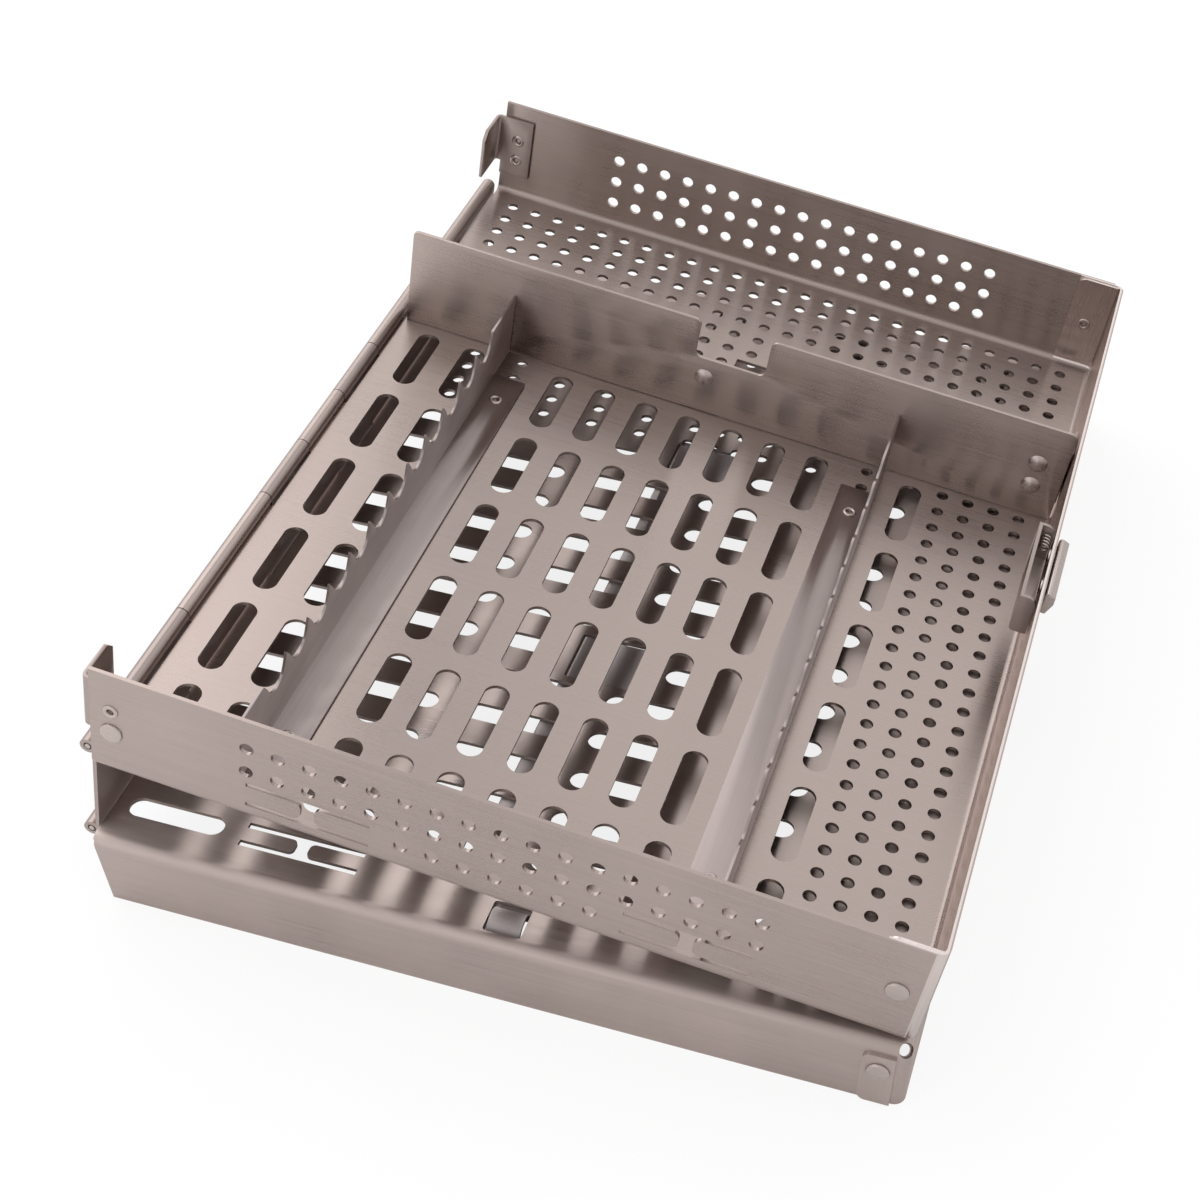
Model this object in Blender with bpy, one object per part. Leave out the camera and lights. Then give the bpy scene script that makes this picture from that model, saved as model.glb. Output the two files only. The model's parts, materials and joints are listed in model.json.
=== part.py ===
# Instrument cassette of folded and perforated sheet, open, with its lid folded back under the tray.
# Pieces are drawn in millimetres and attached in metres. The tray, the spine and the lid each have
# a frame on a hinge axis: X runs to the latch side, Y to the rear and Z is normal to the plate.
import math

import bmesh
import bpy
from mathutils import Matrix

for old in list(bpy.data.objects):
    bpy.data.objects.remove(old)

MM = 0.001                   # metres in a millimetre

# Sheet, fits and hinges
SHEET = 1.0
BEND = 3.0              # outside radius of a fold
FIT = 0.3               # gap left where pieces meet
MERGE = 0.0005               # points closer than this are one point
LAP = 0.02              # a strip that runs into a plate is thinner than it by this on each face
TUBE_R = 2.1            # outside of a rolled knuckle
PIN_R = 0.8
HINGE_LENGTH = 275.5
HINGE_SPAN = 30.2       # tray axis to lid axis, along the spine
KNUCKLES = (2, 2, 1, 1, 1, 2, 2)  # relative lengths, the spine owns the first and the last
LEAF_GAP = TUBE_R + 2 * FIT  # a leaf's edge stops this far from its axis
SPINE_EDGE = TUBE_R + 1.1  # the spine plate's edge beside the other leaf's knuckles

# Tray
TRAY_REACH = 207.0      # hinge axis to the outside of the latch wall
TRAY_WIDTH = 281.3      # outside, front wall to rear wall
TRAY_DROP = 2.6         # underside below the hinge axis
WALL_HEIGHT = 32.2      # above the floor
CORNER_TAB = 13.2       # latch wall's ends, folded along the front and rear walls

# Lid
LID_END_GAP = 1.0       # clear of the tray's latch wall when the lid is closed
LID_SIDE_GAP = 0.95
LID_RISE = TUBE_R            # outer face above the lid's axis
FLANGE_DEPTH = 20.5
LID_TAB = 11.2
LID_RIVET_Z = 11.9      # above the flange's edge
LATCH_GAP = 36.0        # opening in the lid's latch flange
FLANGE_SLANT = 3.5      # cut back at the hinge ends of the flanges

# Perforations
PITCH = 7.75
HOLE_R = 1.75
SLOT_LENGTH = 26.0
SLOT_WIDTH = 6.7
SLOT_ROW_PITCH = 32.3
SLOT_ROWS = 6
SLOT_EDGE = 9.15        # middle of the outer slots, from the racks' feet
SLOT_COLUMNS = 7             # between the racks
SLOT_INSET = 16.9            # middle of the first slots, in front of the divider
SIDE_SLOTS_X = (12.9, 27.35)
LATCH_SLOTS_INSET = 42.6     # from the outside of the latch wall
LATTICE_INSET = 10.1
LATTICE_MARGIN = 8.5    # least distance of a hole from the hinge axis
FOOT_HOLES = (6.2, 4.7)      # from the left and the right rack's upright
LATTICE_ROWS = 35
SIDE_COLUMNS = 4
WALL_COLUMNS = 17
WALL_ROW_Z = (7.6, 15.4, 23.1)
LID_SLOT_LENGTH = 25.4
LID_SLOT_WIDTH = 6.2
LID_SLOT_X = 19.2
LID_SLOT_X_PITCH = 33.6
LID_SLOT_Y = 48.4
LID_SLOT_Y_PITCH = 14.79
LID_SLOT_COLUMNS = 5
LID_SLOT_ROWS = 13
CUT_WIDTH = 1.15        # thin cuts that free a spring tongue

# Inner fittings, from the hinge axis and from the middle of the tray
DIVIDER_Y = 58.1
DIVIDER_HEIGHT = 31.8
DIVIDER_INSET = 3.1
DIVIDER_CORNER = 5.0
ANGLE_LEG = 14.0             # along the divider
ANGLE_SIDE = 12.0            # along the latch wall
ANGLE_Z = (5.0, 24.0)
DIVIDER_FOOT = 6.0
DIVIDER_FOOT_HEIGHT = 18.0
DIVIDER_FOOT_LENGTH = 12.0
DIVIDER_RIVET_Z = (12.4, 10.5, 18.6)
NOTCH = (92.3, 113.7)
NOTCH_DEPTH = 12.8
RACK_LEFT_X = 35.7      # face of the upright
RACK_RIGHT_INSET = 51.9      # from the outside of the latch wall
RACK_SHEET = 0.7
RACK_FOOT = 10.5
RACK_FOOT_INSET = 13.5
RACK_RIVET_INSET = 25.2
RACK_PITCH = 13.1
RACK_LOW = 12.7
RACK_TIP = 20.5
WAVE_LOW = 16.6
WAVE_TIP = 20.5

# Corner brackets
BRACKET_LEG = 12.5      # along the wall, from the hinge axis
BRACKET_END = 14.0      # inward from the wall
BRACKET_Z = (7.0, 27.5)
BRACKET_END_Z = 11.6
BRACKET_RIVET_X = 8.0
BRACKET_RIVET_Z = (13.0, 20.2)

# Latch
HOUSING_LENGTH = 32.0
HOUSING_DEPTH = 11.3
HOUSING_WIDTH = 4.0     # clear width of the pocket
SLIDE_LENGTH = 23.7
SLIDE_LIP = 2.9
SLIDE_FALL = 1.35
SLIDE_HEIGHT = 7.4
SLIDE_TRAVEL = 3.5
STUD_Y = 6.5
STUD_DROP = 3.5         # stud below the wall's top
SPRING_R = 1.3
SPRING_WIRE_R = 0.25
SPRING_TURNS = 4

# Rivets
SHANK_R = 1.2
RIVET_HOLE_R = SHANK_R + FIT
DOME_R = 2.9
SMALL_R = 2.0
HEAD_HEIGHT = 0.5
SEAT = 0.2              # a rivet's head stands this far off the sheet

# Hold-down bar, in the lid's frame
BAR_X = (92.7, 105.5)
BAR_Y = (-138.6, 62.0)
WINDOW_X = (93.5, 112.9)
WINDOWS_Y = ((-49.6, -31.8), (45.0, 59.7))
ARCH_X = (104.0, 112.5)
ARCH_Y = -134.4
ARCH_R = 4.2
ARCH_RISE = 1.0         # above the lid's outer face
BAR_RIVETS_Y = (-92.0, 11.5)

# Worked out from the sizes above
LID_REACH = TRAY_REACH + LID_END_GAP + SHEET
LID_WIDTH = TRAY_WIDTH + 2 * (LID_SIDE_GAP + SHEET)
RACK_RIGHT_X = TRAY_REACH - RACK_RIGHT_INSET
DIVIDER_END = TRAY_REACH - DIVIDER_INSET
TRAY_HALF = TRAY_WIDTH / 2
LID_HALF = LID_WIDTH / 2
FLOOR = SHEET - TRAY_DROP
WALL_TOP = FLOOR + WALL_HEIGHT
LID_INSIDE = LID_RISE - SHEET
FLANGE_END = LID_RISE - FLANGE_DEPTH
LATTICE_COLUMNS = int((TRAY_REACH - LATTICE_INSET - LATTICE_MARGIN) // PITCH) + 1
LATTICE_X = TRAY_REACH - LATTICE_INSET - (LATTICE_COLUMNS - 1) * PITCH
LATTICE_Y = -(LATTICE_ROWS - 1) * PITCH / 2
DIVIDER_ROW = 25             # lattice row under the divider's rear side
FIRST_SLOT_Y = DIVIDER_Y - SLOT_INSET
POCKET_X = TRAY_REACH - SHEET - HOUSING_WIDTH

# The tray leans until its latch-side fold rests on the lid
fold_x = TRAY_REACH - BEND
fold_z = HINGE_SPAN + BEND - TRAY_DROP
rest_height = LID_RISE + BEND + FIT
LEAN = math.atan2(fold_z, fold_x) - math.asin(rest_height / math.hypot(fold_x, fold_z))


def place(name, bm):
    """Link a new object that holds the given geometry."""
    mesh = bpy.data.meshes.new(name)
    bmesh.ops.recalc_face_normals(bm, faces=bm.faces)
    bmesh.ops.triangulate(bm, faces=bm.faces)
    bm.to_mesh(mesh)
    bm.free()
    obj = bpy.data.objects.new(name, mesh)
    bpy.context.scene.collection.objects.link(obj)
    return obj


def combine(target, tool, operation):
    """Boolean the tool into the target and delete the tool."""
    step = target.modifiers.new("Step", "BOOLEAN")
    step.operation = operation
    step.solver = "EXACT"
    step.object = tool
    bpy.context.view_layer.update()
    graph = bpy.context.evaluated_depsgraph_get()
    mesh = bpy.data.meshes.new_from_object(target.evaluated_get(graph))
    target.modifiers.clear()
    target.data = mesh
    bpy.data.objects.remove(tool)
    bm = bmesh.new()
    bm.from_mesh(mesh)
    bmesh.ops.remove_doubles(bm, verts=bm.verts, dist=MERGE)
    bmesh.ops.triangulate(bm, faces=bm.faces)
    bm.to_mesh(mesh)
    bm.free()


def add_prism(bm, outline, axis, low, high):
    """Add a closed prism over an outline of (a, b) points, drawn along X, Y or Z."""
    corners = {
        "X": lambda a, b, c: (c, a, b),
        "Y": lambda a, b, c: (a, c, b),
        "Z": lambda a, b, c: (a, b, c),
    }[axis]
    lower = [bm.verts.new(corners(a, b, low)) for a, b in outline]
    upper = [bm.verts.new(corners(a, b, high)) for a, b in outline]
    bm.faces.new(lower)
    bm.faces.new(upper)
    for i in range(len(outline)):
        j = (i + 1) % len(outline)
        bm.faces.new((lower[i], lower[j], upper[j], upper[i]))


def prisms(name, outlines, axis, low, high):
    bm = bmesh.new()
    for outline in outlines:
        add_prism(bm, outline, axis, low, high)
    return place(name, bm)


def rectangle(a0, a1, b0, b1):
    return [(a0, b0), (a1, b0), (a1, b1), (a0, b1)]


def polygon(a, b, radius, sides):
    """A round hole's outline, with the area of the true circle."""
    r = radius * math.sqrt(math.tau / (sides * math.sin(math.tau / sides)))
    turns = [math.tau * (i + 0.5) / sides for i in range(sides)]
    return [(a + r * math.cos(t), b + r * math.sin(t)) for t in turns]


def slot(a, b, length, width, along_a):
    """A slot with rounded ends, four points at each."""
    half, r = (length - width) / 2, width / 2
    outline = []
    for end in (1, -1):
        for step in range(4):
            turn = math.radians(-90 + 60 * step)
            outline.append((end * (half + r * math.cos(turn)), end * r * math.sin(turn)))
    if along_a:
        return [(a + u, b + v) for u, v in outline]
    return [(a - v, b + u) for u, v in outline]


def tongue_cut(a0, a1, b0, b1, gap0, gap1):
    """Two thin cuts joined by a gap, which free a pair of round-nosed tongues."""
    nose = (b1 - b0 - 2 * CUT_WIDTH) / 3
    low, high = b0 + CUT_WIDTH, b1 - CUT_WIDTH
    return [
        (a0, b0), (a1, b0), (a1, low), (gap1 + nose, low), (gap1, low + nose), (gap1, high - nose),
        (gap1 + nose, high), (a1, high), (a1, b1), (a0, b1), (a0, high), (gap0 - nose, high),
        (gap0, high - nose), (gap0, low + nose), (gap0 - nose, low), (a0, low),
    ]


def rounded_block(name, low, high, radius, fold_side, end_x):
    """A block with round folds along three sides of one plate and at its two far corners."""
    bm = bmesh.new()
    add_prism(bm, rectangle(low[0], high[0], low[1], high[1]), "Z", low[2], high[2])
    folds = []
    for edge in bm.edges:
        a, b = edge.verts
        in_plate = all(abs(v.co.z - fold_side) < FIT for v in (a, b))
        at_end = all(abs(v.co.x - end_x) < FIT for v in (a, b))
        at_hinge = all(abs(v.co.x - low[0]) < FIT for v in (a, b))
        upright = abs(a.co.z - b.co.z) > FIT
        if (in_plate and not at_hinge) or (upright and at_end):
            folds.append(edge)
    bmesh.ops.bevel(bm, geom=folds, offset=radius, segments=3, profile=0.5, affect="EDGES")
    return place(name, bm)


def folded_sheet(name, reach, half_width, plate, rim):
    """A plate with a wall on three sides; plate and rim are heights in the hinge frame."""
    up = 1 if rim > plate else -1
    low, high = min(plate, rim), max(plate, rim)
    sheet = rounded_block(name, (LEAF_GAP, -half_width, low), (reach, half_width, high), BEND, plate, reach)
    inside = plate + up * SHEET
    beyond = rim + up * BEND
    hollow = rounded_block(
        "hollow",
        (LEAF_GAP - BEND, SHEET - half_width, min(inside, beyond)),
        (reach - SHEET, half_width - SHEET, max(inside, beyond)),
        BEND - SHEET, inside, reach - SHEET)
    combine(sheet, hollow, "DIFFERENCE")
    return sheet


def knuckle_spans(owner):
    """Y spans of the knuckles that belong to the spine (0) or to the other leaf (1)."""
    unit = HINGE_LENGTH / sum(KNUCKLES)
    y = -HINGE_LENGTH / 2
    spans = []
    for i, length in enumerate(KNUCKLES):
        gap = FIT / 2
        if i % 2 == owner:
            spans.append((y + gap, y + length * unit - gap))
        y += length * unit
    return spans


def add_knuckles(sheet, owner, strip, z):
    """Roll a leaf's edge round its axis: tubes, each with a strip that leads to the plate."""
    for low, high in knuckle_spans(owner):
        tube = prisms("tube", [polygon(0, 0, TUBE_R, 10)], "Y", low, high)
        tube.data.transform(Matrix.Translation((0, 0, z)))
        lead = prisms("lead", [[(x, z + h) for x, h in strip]], "Y", low, high)
        combine(tube, lead, "UNION")
        combine(sheet, tube, "UNION")
    bore = prisms("bore", [polygon(0, z, PIN_R + FIT, 8)], "Y", -HINGE_LENGTH, HINGE_LENGTH)
    combine(sheet, bore, "DIFFERENCE")


def lattice(column, row):
    return LATTICE_X + column * PITCH, LATTICE_Y + row * PITCH


def floor_outlines():
    """Slots in the instrument space, round holes beside it and behind the divider."""
    outlines = []
    first = RACK_LEFT_X + RACK_FOOT + SLOT_EDGE
    last = RACK_RIGHT_X - RACK_FOOT - SLOT_EDGE
    slot_columns = [*SIDE_SLOTS_X, TRAY_REACH - LATCH_SLOTS_INSET]
    slot_columns += [first + (last - first) * i / (SLOT_COLUMNS - 1) for i in range(SLOT_COLUMNS)]
    for x in slot_columns:
        for row in range(SLOT_ROWS):
            y = FIRST_SLOT_Y - row * SLOT_ROW_PITCH
            outlines.append(slot(x, y, SLOT_LENGTH, SLOT_WIDTH, False))
    beside = range(LATTICE_COLUMNS - SIDE_COLUMNS, LATTICE_COLUMNS)
    places = [(c, r) for r in range(DIVIDER_ROW) for c in beside if (c + r) % 2 == 0]
    behind = range(DIVIDER_ROW + 1, LATTICE_ROWS)
    places += [(c, r) for r in behind for c in range(LATTICE_COLUMNS) if (c + r) % 2 == 0]
    window = {(c, r) for c in (12, 13) for r in (DIVIDER_ROW + 2, DIVIDER_ROW + 3)}
    for column, row in places:
        if (column, row) not in window:
            x, y = lattice(column, row)
            outlines.append(polygon(x, y, HOLE_R, 4))
    x0, y0 = lattice(12, DIVIDER_ROW + 2)
    x1, y1 = lattice(13, DIVIDER_ROW + 3)
    edge = PITCH / 2 - HOLE_R / 4
    outlines.append(rectangle(x0 - edge, x1 + edge, y0 - edge, y1 + edge))
    for x in (RACK_LEFT_X + FOOT_HOLES[0], RACK_RIGHT_X - FOOT_HOLES[1]):
        outlines += [polygon(x, lattice(0, row)[1], HOLE_R, 4) for row in (DIVIDER_ROW - 2, DIVIDER_ROW - 1)]
    for x in (RACK_LEFT_X + RACK_FOOT / 2, RACK_RIGHT_X - RACK_FOOT / 2):
        for y in rack_rivets_y():
            outlines.append(polygon(x, y, RIVET_HOLE_R, 8))
    return outlines


def wall_x(column):
    return lattice(column + 4, 0)[0]


def rack_rivets_y():
    return (DIVIDER_Y - RACK_RIVET_INSET, SHEET - TRAY_HALF + RACK_RIVET_INSET)


def corner_rivet(reach, tab):
    """Middle of a corner tab, from the hinge axis."""
    return reach - tab / 2 - 1.5


def build_tray():
    tray = folded_sheet("base_tray", TRAY_REACH, TRAY_HALF, -TRAY_DROP, WALL_TOP)
    for side in (-1, 1):
        y = sorted((side * (TRAY_HALF - 2 * SHEET), side * (TRAY_HALF - SHEET / 2)))
        tab_start = TRAY_REACH - SHEET - CORNER_TAB
        tab = rectangle(tab_start, TRAY_REACH - 1.5 * SHEET, FLOOR + BEND, WALL_TOP - FIT)
        combine(tray, prisms("tab", [tab], "Y", *y), "UNION")
    low, high = LAP - TRAY_DROP, FLOOR - LAP
    strip = [(0, -TUBE_R), (LEAF_GAP - FIT, low), (LEAF_GAP + BEND, low), (LEAF_GAP + BEND, high),
             (TUBE_R / 2, high)]
    add_knuckles(tray, 1, strip, 0)
    combine(tray, prisms("holes", floor_outlines(), "Z", -BEND - TRAY_DROP, FLOOR + BEND), "DIFFERENCE")

    front = [polygon(wall_x(c), FLOOR + z, HOLE_R, 4) for z in WALL_ROW_Z[1:] for c in range(WALL_COLUMNS)]
    front += [polygon(wall_x(c), FLOOR + WALL_ROW_Z[0], HOLE_R, 4) for c in range(5, 12)]
    for column in (2, 14):
        middle = wall_x(column)
        cut = (middle - 2 * PITCH, middle + 2 * PITCH)
        cut_z = (FLOOR + WALL_ROW_Z[0] - PITCH / 2, FLOOR + WALL_ROW_Z[0] + PITCH / 2)
        front.append(tongue_cut(*cut, *cut_z, middle - HOLE_R, middle + HOLE_R))
    rear = [polygon(wall_x(c), FLOOR + z, HOLE_R, 4) for z in WALL_ROW_Z for c in range(WALL_COLUMNS)]
    corner_x = corner_rivet(TRAY_REACH, CORNER_TAB)
    for outlines in (front, rear):
        outlines += [polygon(BRACKET_RIVET_X, FLOOR + z, RIVET_HOLE_R, 8) for z in BRACKET_RIVET_Z]
        outlines.append(polygon(corner_x, FLOOR + WALL_HEIGHT / 2, RIVET_HOLE_R, 8))
    combine(tray, prisms("front_holes", front, "Y", -TRAY_HALF - BEND, BEND - TRAY_HALF), "DIFFERENCE")
    combine(tray, prisms("rear_holes", rear, "Y", TRAY_HALF - BEND, TRAY_HALF + BEND), "DIFFERENCE")

    z = WALL_TOP - STUD_DROP
    tracks = []
    for y in (-STUD_Y, STUD_Y):
        length = SLIDE_TRAVEL + 2 * RIVET_HOLE_R
        tracks.append(slot(y + SLIDE_TRAVEL / 2, z, length, 2 * RIVET_HOLE_R, True))
    combine(tray, prisms("tracks", tracks, "X", TRAY_REACH - BEND, TRAY_REACH + BEND), "DIFFERENCE")
    return tray


def lid_outlines():
    """Rows of slots across the lid, two windows, a pair of tongues and the arch's opening."""
    outlines = [rectangle(*WINDOW_X, *span) for span in WINDOWS_Y]
    gap = 2 * FIT
    arch_y = (ARCH_Y - ARCH_R - gap, ARCH_Y + ARCH_R + gap)
    outlines.append(rectangle(ARCH_X[0] - gap, ARCH_X[1] + gap, *arch_y))
    last = LID_SLOT_ROWS - 1
    half = LID_SLOT_WIDTH / 2
    for row in range(LID_SLOT_ROWS):
        y = LID_SLOT_Y - row * LID_SLOT_Y_PITCH
        beside_window = any(low - half < y < high + half for low, high in WINDOWS_Y)
        for column in range(LID_SLOT_COLUMNS):
            x = LID_SLOT_X + column * LID_SLOT_X_PITCH
            near_window = x - LID_SLOT_LENGTH < WINDOW_X[1] and x + LID_SLOT_LENGTH > WINDOW_X[0]
            if (beside_window and near_window) or (row == last and column > 0):
                continue
            outlines.append(slot(x, y, LID_SLOT_LENGTH, LID_SLOT_WIDTH, True))
    x = LID_SLOT_X + LID_SLOT_X_PITCH
    y = LID_SLOT_Y - last * LID_SLOT_Y_PITCH
    cut_y = (y - PITCH / 2, y + PITCH / 2)
    outlines.append(tongue_cut(x - 2 * PITCH, x + 2 * PITCH, *cut_y, x - HOLE_R, x + HOLE_R))
    for y in BAR_RIVETS_Y:
        outlines.append(polygon(bar_rivet_x(), y, RIVET_HOLE_R, 8))
    return outlines


def bar_rivet_x():
    return BAR_X[1] - RIVET_HOLE_R - SHEET


def catch_outline():
    """The catch tongue seen along X: a stem with a foot that reaches under the front stud."""
    stem = STUD_Y - DOME_R
    foot_top = WALL_TOP - STUD_DROP - DOME_R - 2 * FIT - HINGE_SPAN
    foot_end = -STUD_Y - DOME_R / 2
    foot_low = foot_top - 2 * SHEET
    return [(-stem, LID_INSIDE + SHEET / 2), (-stem, foot_top), (foot_end, foot_top), (foot_end, foot_low),
            (stem - SHEET, foot_low), (stem, foot_top), (stem, LID_INSIDE + SHEET / 2)]


def build_lid():
    lid = folded_sheet("lid_tray", LID_REACH, LID_HALF, LID_RISE, FLANGE_END)
    for side in (-1, 1):
        y = sorted((side * (LID_HALF - SHEET / 2), side * (LID_HALF + SHEET)))
        tab = rectangle(LID_REACH - LID_TAB, LID_REACH - BEND - FIT, FLANGE_END + FIT, LID_RISE - BEND)
        combine(lid, prisms("tab", [tab], "Y", *y), "UNION")
        slant = [(0, LID_INSIDE), (LEAF_GAP + FIT, LID_INSIDE), (LEAF_GAP + FLANGE_SLANT, FLANGE_END - BEND),
                 (0, FLANGE_END - BEND)]
        y = sorted((side * (LID_HALF - 2 * SHEET), side * (LID_HALF + SHEET)))
        combine(lid, prisms("slant", [slant], "Y", *y), "DIFFERENCE")
    strip = rectangle(0, LEAF_GAP + BEND, LID_INSIDE + LAP, LID_RISE - LAP)
    add_knuckles(lid, 1, strip, 0)
    combine(lid, prisms("holes", lid_outlines(), "Z", LID_INSIDE - BEND, LID_RISE + BEND), "DIFFERENCE")
    corner = [polygon(corner_rivet(LID_REACH, LID_TAB), FLANGE_END + LID_RIVET_Z, RIVET_HOLE_R, 8)]
    for side in (-1, 1):
        y = sorted((side * (LID_HALF - BEND), side * (LID_HALF + BEND)))
        combine(lid, prisms("rivet_hole", corner, "Y", *y), "DIFFERENCE")
    opening = rectangle(-LATCH_GAP / 2, LATCH_GAP / 2, FLANGE_END - BEND, LID_RISE + BEND)
    combine(lid, prisms("opening", [opening], "X", LID_REACH - BEND, LID_REACH + BEND), "DIFFERENCE")
    catch_x = POCKET_X + FIT
    combine(lid, prisms("catch", [catch_outline()], "X", catch_x, catch_x + SHEET), "UNION")
    return lid


def build_spine():
    """A plate flush with the latch side of its two rows of knuckles."""
    face = (TUBE_R - SHEET, TUBE_R)
    plate = rectangle(*face, SPINE_EDGE - HINGE_SPAN, -SPINE_EDGE)
    spine = prisms("spine_plate", [plate], "Y", FIT / 2 - HINGE_LENGTH / 2, HINGE_LENGTH / 2 - FIT / 2)
    lead = SPINE_EDGE + SHEET
    within = (face[0] + LAP, face[1] - LAP)
    add_knuckles(spine, 0, rectangle(*within, -lead, 0), 0)
    add_knuckles(spine, 0, rectangle(*within, 0, lead), -HINGE_SPAN)
    return spine


def build_pin(name):
    return prisms(name, [polygon(0, 0, PIN_R, 8)], "Y", -HINGE_LENGTH / 2, HINGE_LENGTH / 2)


def build_divider():
    """A plate across the tray, with a notch for the hold-down bar and a round far corner."""
    low, top = FLOOR + FIT, FLOOR + DIVIDER_HEIGHT
    start = LEAF_GAP + FIT
    floor_of_notch = top - NOTCH_DEPTH
    corner = DIVIDER_CORNER
    outline = [(start, low), (DIVIDER_END, low), (DIVIDER_END, top - corner)]
    for step in range(1, 4):
        turn = math.radians(30 * step)
        x = DIVIDER_END - corner + corner * math.cos(turn)
        outline.append((x, top - corner + corner * math.sin(turn)))
    ease = 2
    outline += [(NOTCH[1] + ease, top), (NOTCH[1], top - ease), (NOTCH[1], floor_of_notch + ease)]
    outline += [(NOTCH[1] - ease, floor_of_notch), (NOTCH[0] + ease, floor_of_notch)]
    outline += [(NOTCH[0], floor_of_notch + ease), (NOTCH[0], top - ease), (NOTCH[0] - ease, top),
                (start, top)]
    divider = prisms("divider", [outline], "Y", DIVIDER_Y, DIVIDER_Y + SHEET)
    holes = [polygon(x, z, RIVET_HOLE_R, 8) for x, z in divider_rivets()]
    combine(divider, prisms("holes", holes, "Y", DIVIDER_Y - BEND, DIVIDER_Y + BEND), "DIFFERENCE")
    return divider


def divider_rivets():
    middle, lower, upper = (FLOOR + z for z in DIVIDER_RIVET_Z)
    side = TRAY_REACH - LATTICE_INSET
    return [(NOTCH[0] + SHEET + DOME_R, middle), (side, lower), (side, upper)]


def build_divider_angle():
    """Angle behind the divider that ties it to the latch wall."""
    y0 = DIVIDER_Y + SHEET + FIT
    x1 = TRAY_REACH - SHEET - FIT
    x0 = x1 - ANGLE_LEG
    y1 = y0 + ANGLE_SIDE
    outline = [(x0, y0), (x1, y0), (x1, y1), (x1 - SHEET, y1), (x1 - SHEET, y0 + SHEET), (x0, y0 + SHEET)]
    angle = prisms("divider_angle", [outline], "Z", FLOOR + ANGLE_Z[0], FLOOR + ANGLE_Z[1])
    holes = [polygon(x, z, RIVET_HOLE_R, 8) for x, z in divider_rivets()[1:]]
    combine(angle, prisms("holes", holes, "Y", DIVIDER_Y, DIVIDER_Y + BEND), "DIFFERENCE")
    return angle


def build_divider_foot():
    """Small angle behind the divider that stands it on the floor."""
    y0, z0 = DIVIDER_Y + SHEET + FIT, FLOOR + FIT
    y1, z1 = y0 + DIVIDER_FOOT, z0 + DIVIDER_FOOT_HEIGHT
    x, z = divider_rivets()[0]
    half = DIVIDER_FOOT_LENGTH / 2
    outline = [(y0, z0), (y1, z0), (y1, z0 + SHEET), (y0 + SHEET, z0 + SHEET), (y0 + SHEET, z1), (y0, z1)]
    angle = prisms("divider_foot", [outline], "X", x - half, x + half)
    hole = [polygon(x, z, RIVET_HOLE_R, 8)]
    combine(angle, prisms("hole", hole, "Y", DIVIDER_Y, DIVIDER_Y + BEND), "DIFFERENCE")
    return angle


def rack_edge(length, low, tip, hooked):
    """Top edge of a rack from its rear end forward, as distances and heights."""
    count = int((length - 2 * RACK_FOOT_INSET) // RACK_PITCH)
    start = (length - count * RACK_PITCH) / 2
    edge = [(0, tip), (start, tip)]
    for i in range(count):
        at = start + i * RACK_PITCH
        if hooked:
            edge += [(at + 0.12 * RACK_PITCH, low + (tip - low) * 0.25), (at + 0.38 * RACK_PITCH, low),
                     (at + 0.66 * RACK_PITCH, low + (tip - low) * 0.2),
                     (at + 0.82 * RACK_PITCH, low + (tip - low) * 0.6),
                     (at + RACK_PITCH, tip)]
        else:
            edge += [(at + 0.25 * RACK_PITCH, (low + tip) / 2), (at + 0.5 * RACK_PITCH, low),
                     (at + 0.75 * RACK_PITCH, (low + tip) / 2), (at + RACK_PITCH, tip)]
    return edge + [(length, tip)]


def build_rack(name, face, foot, low, tip, hooked):
    """A folded strip: a scalloped upright, and a foot on the floor towards +1 or -1 in X."""
    rear = DIVIDER_Y - FIT
    front = SHEET - TRAY_HALF + SHEET + FIT
    length = rear - front
    base = FLOOR + FIT
    edge = reversed(rack_edge(length, low, tip, hooked))
    outline = [(front, base)] + [(rear - d, FLOOR + h) for d, h in edge]
    outline += [(rear, base)]
    x = sorted((face, face + foot * RACK_SHEET))
    rack = prisms(name, [outline], "X", *x)
    sole = rectangle(*sorted((face + foot * RACK_SHEET / 2, face + foot * RACK_FOOT)),
                     front + RACK_FOOT_INSET, rear - RACK_FOOT_INSET)
    plate = prisms("sole", [sole], "Z", base, base + RACK_SHEET)
    combine(rack, plate, "UNION")
    holes = [polygon(face + foot * RACK_FOOT / 2, y, RIVET_HOLE_R, 8) for y in rack_rivets_y()]
    combine(rack, prisms("holes", holes, "Z", base - BEND, base + BEND), "DIFFERENCE")
    return rack


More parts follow.
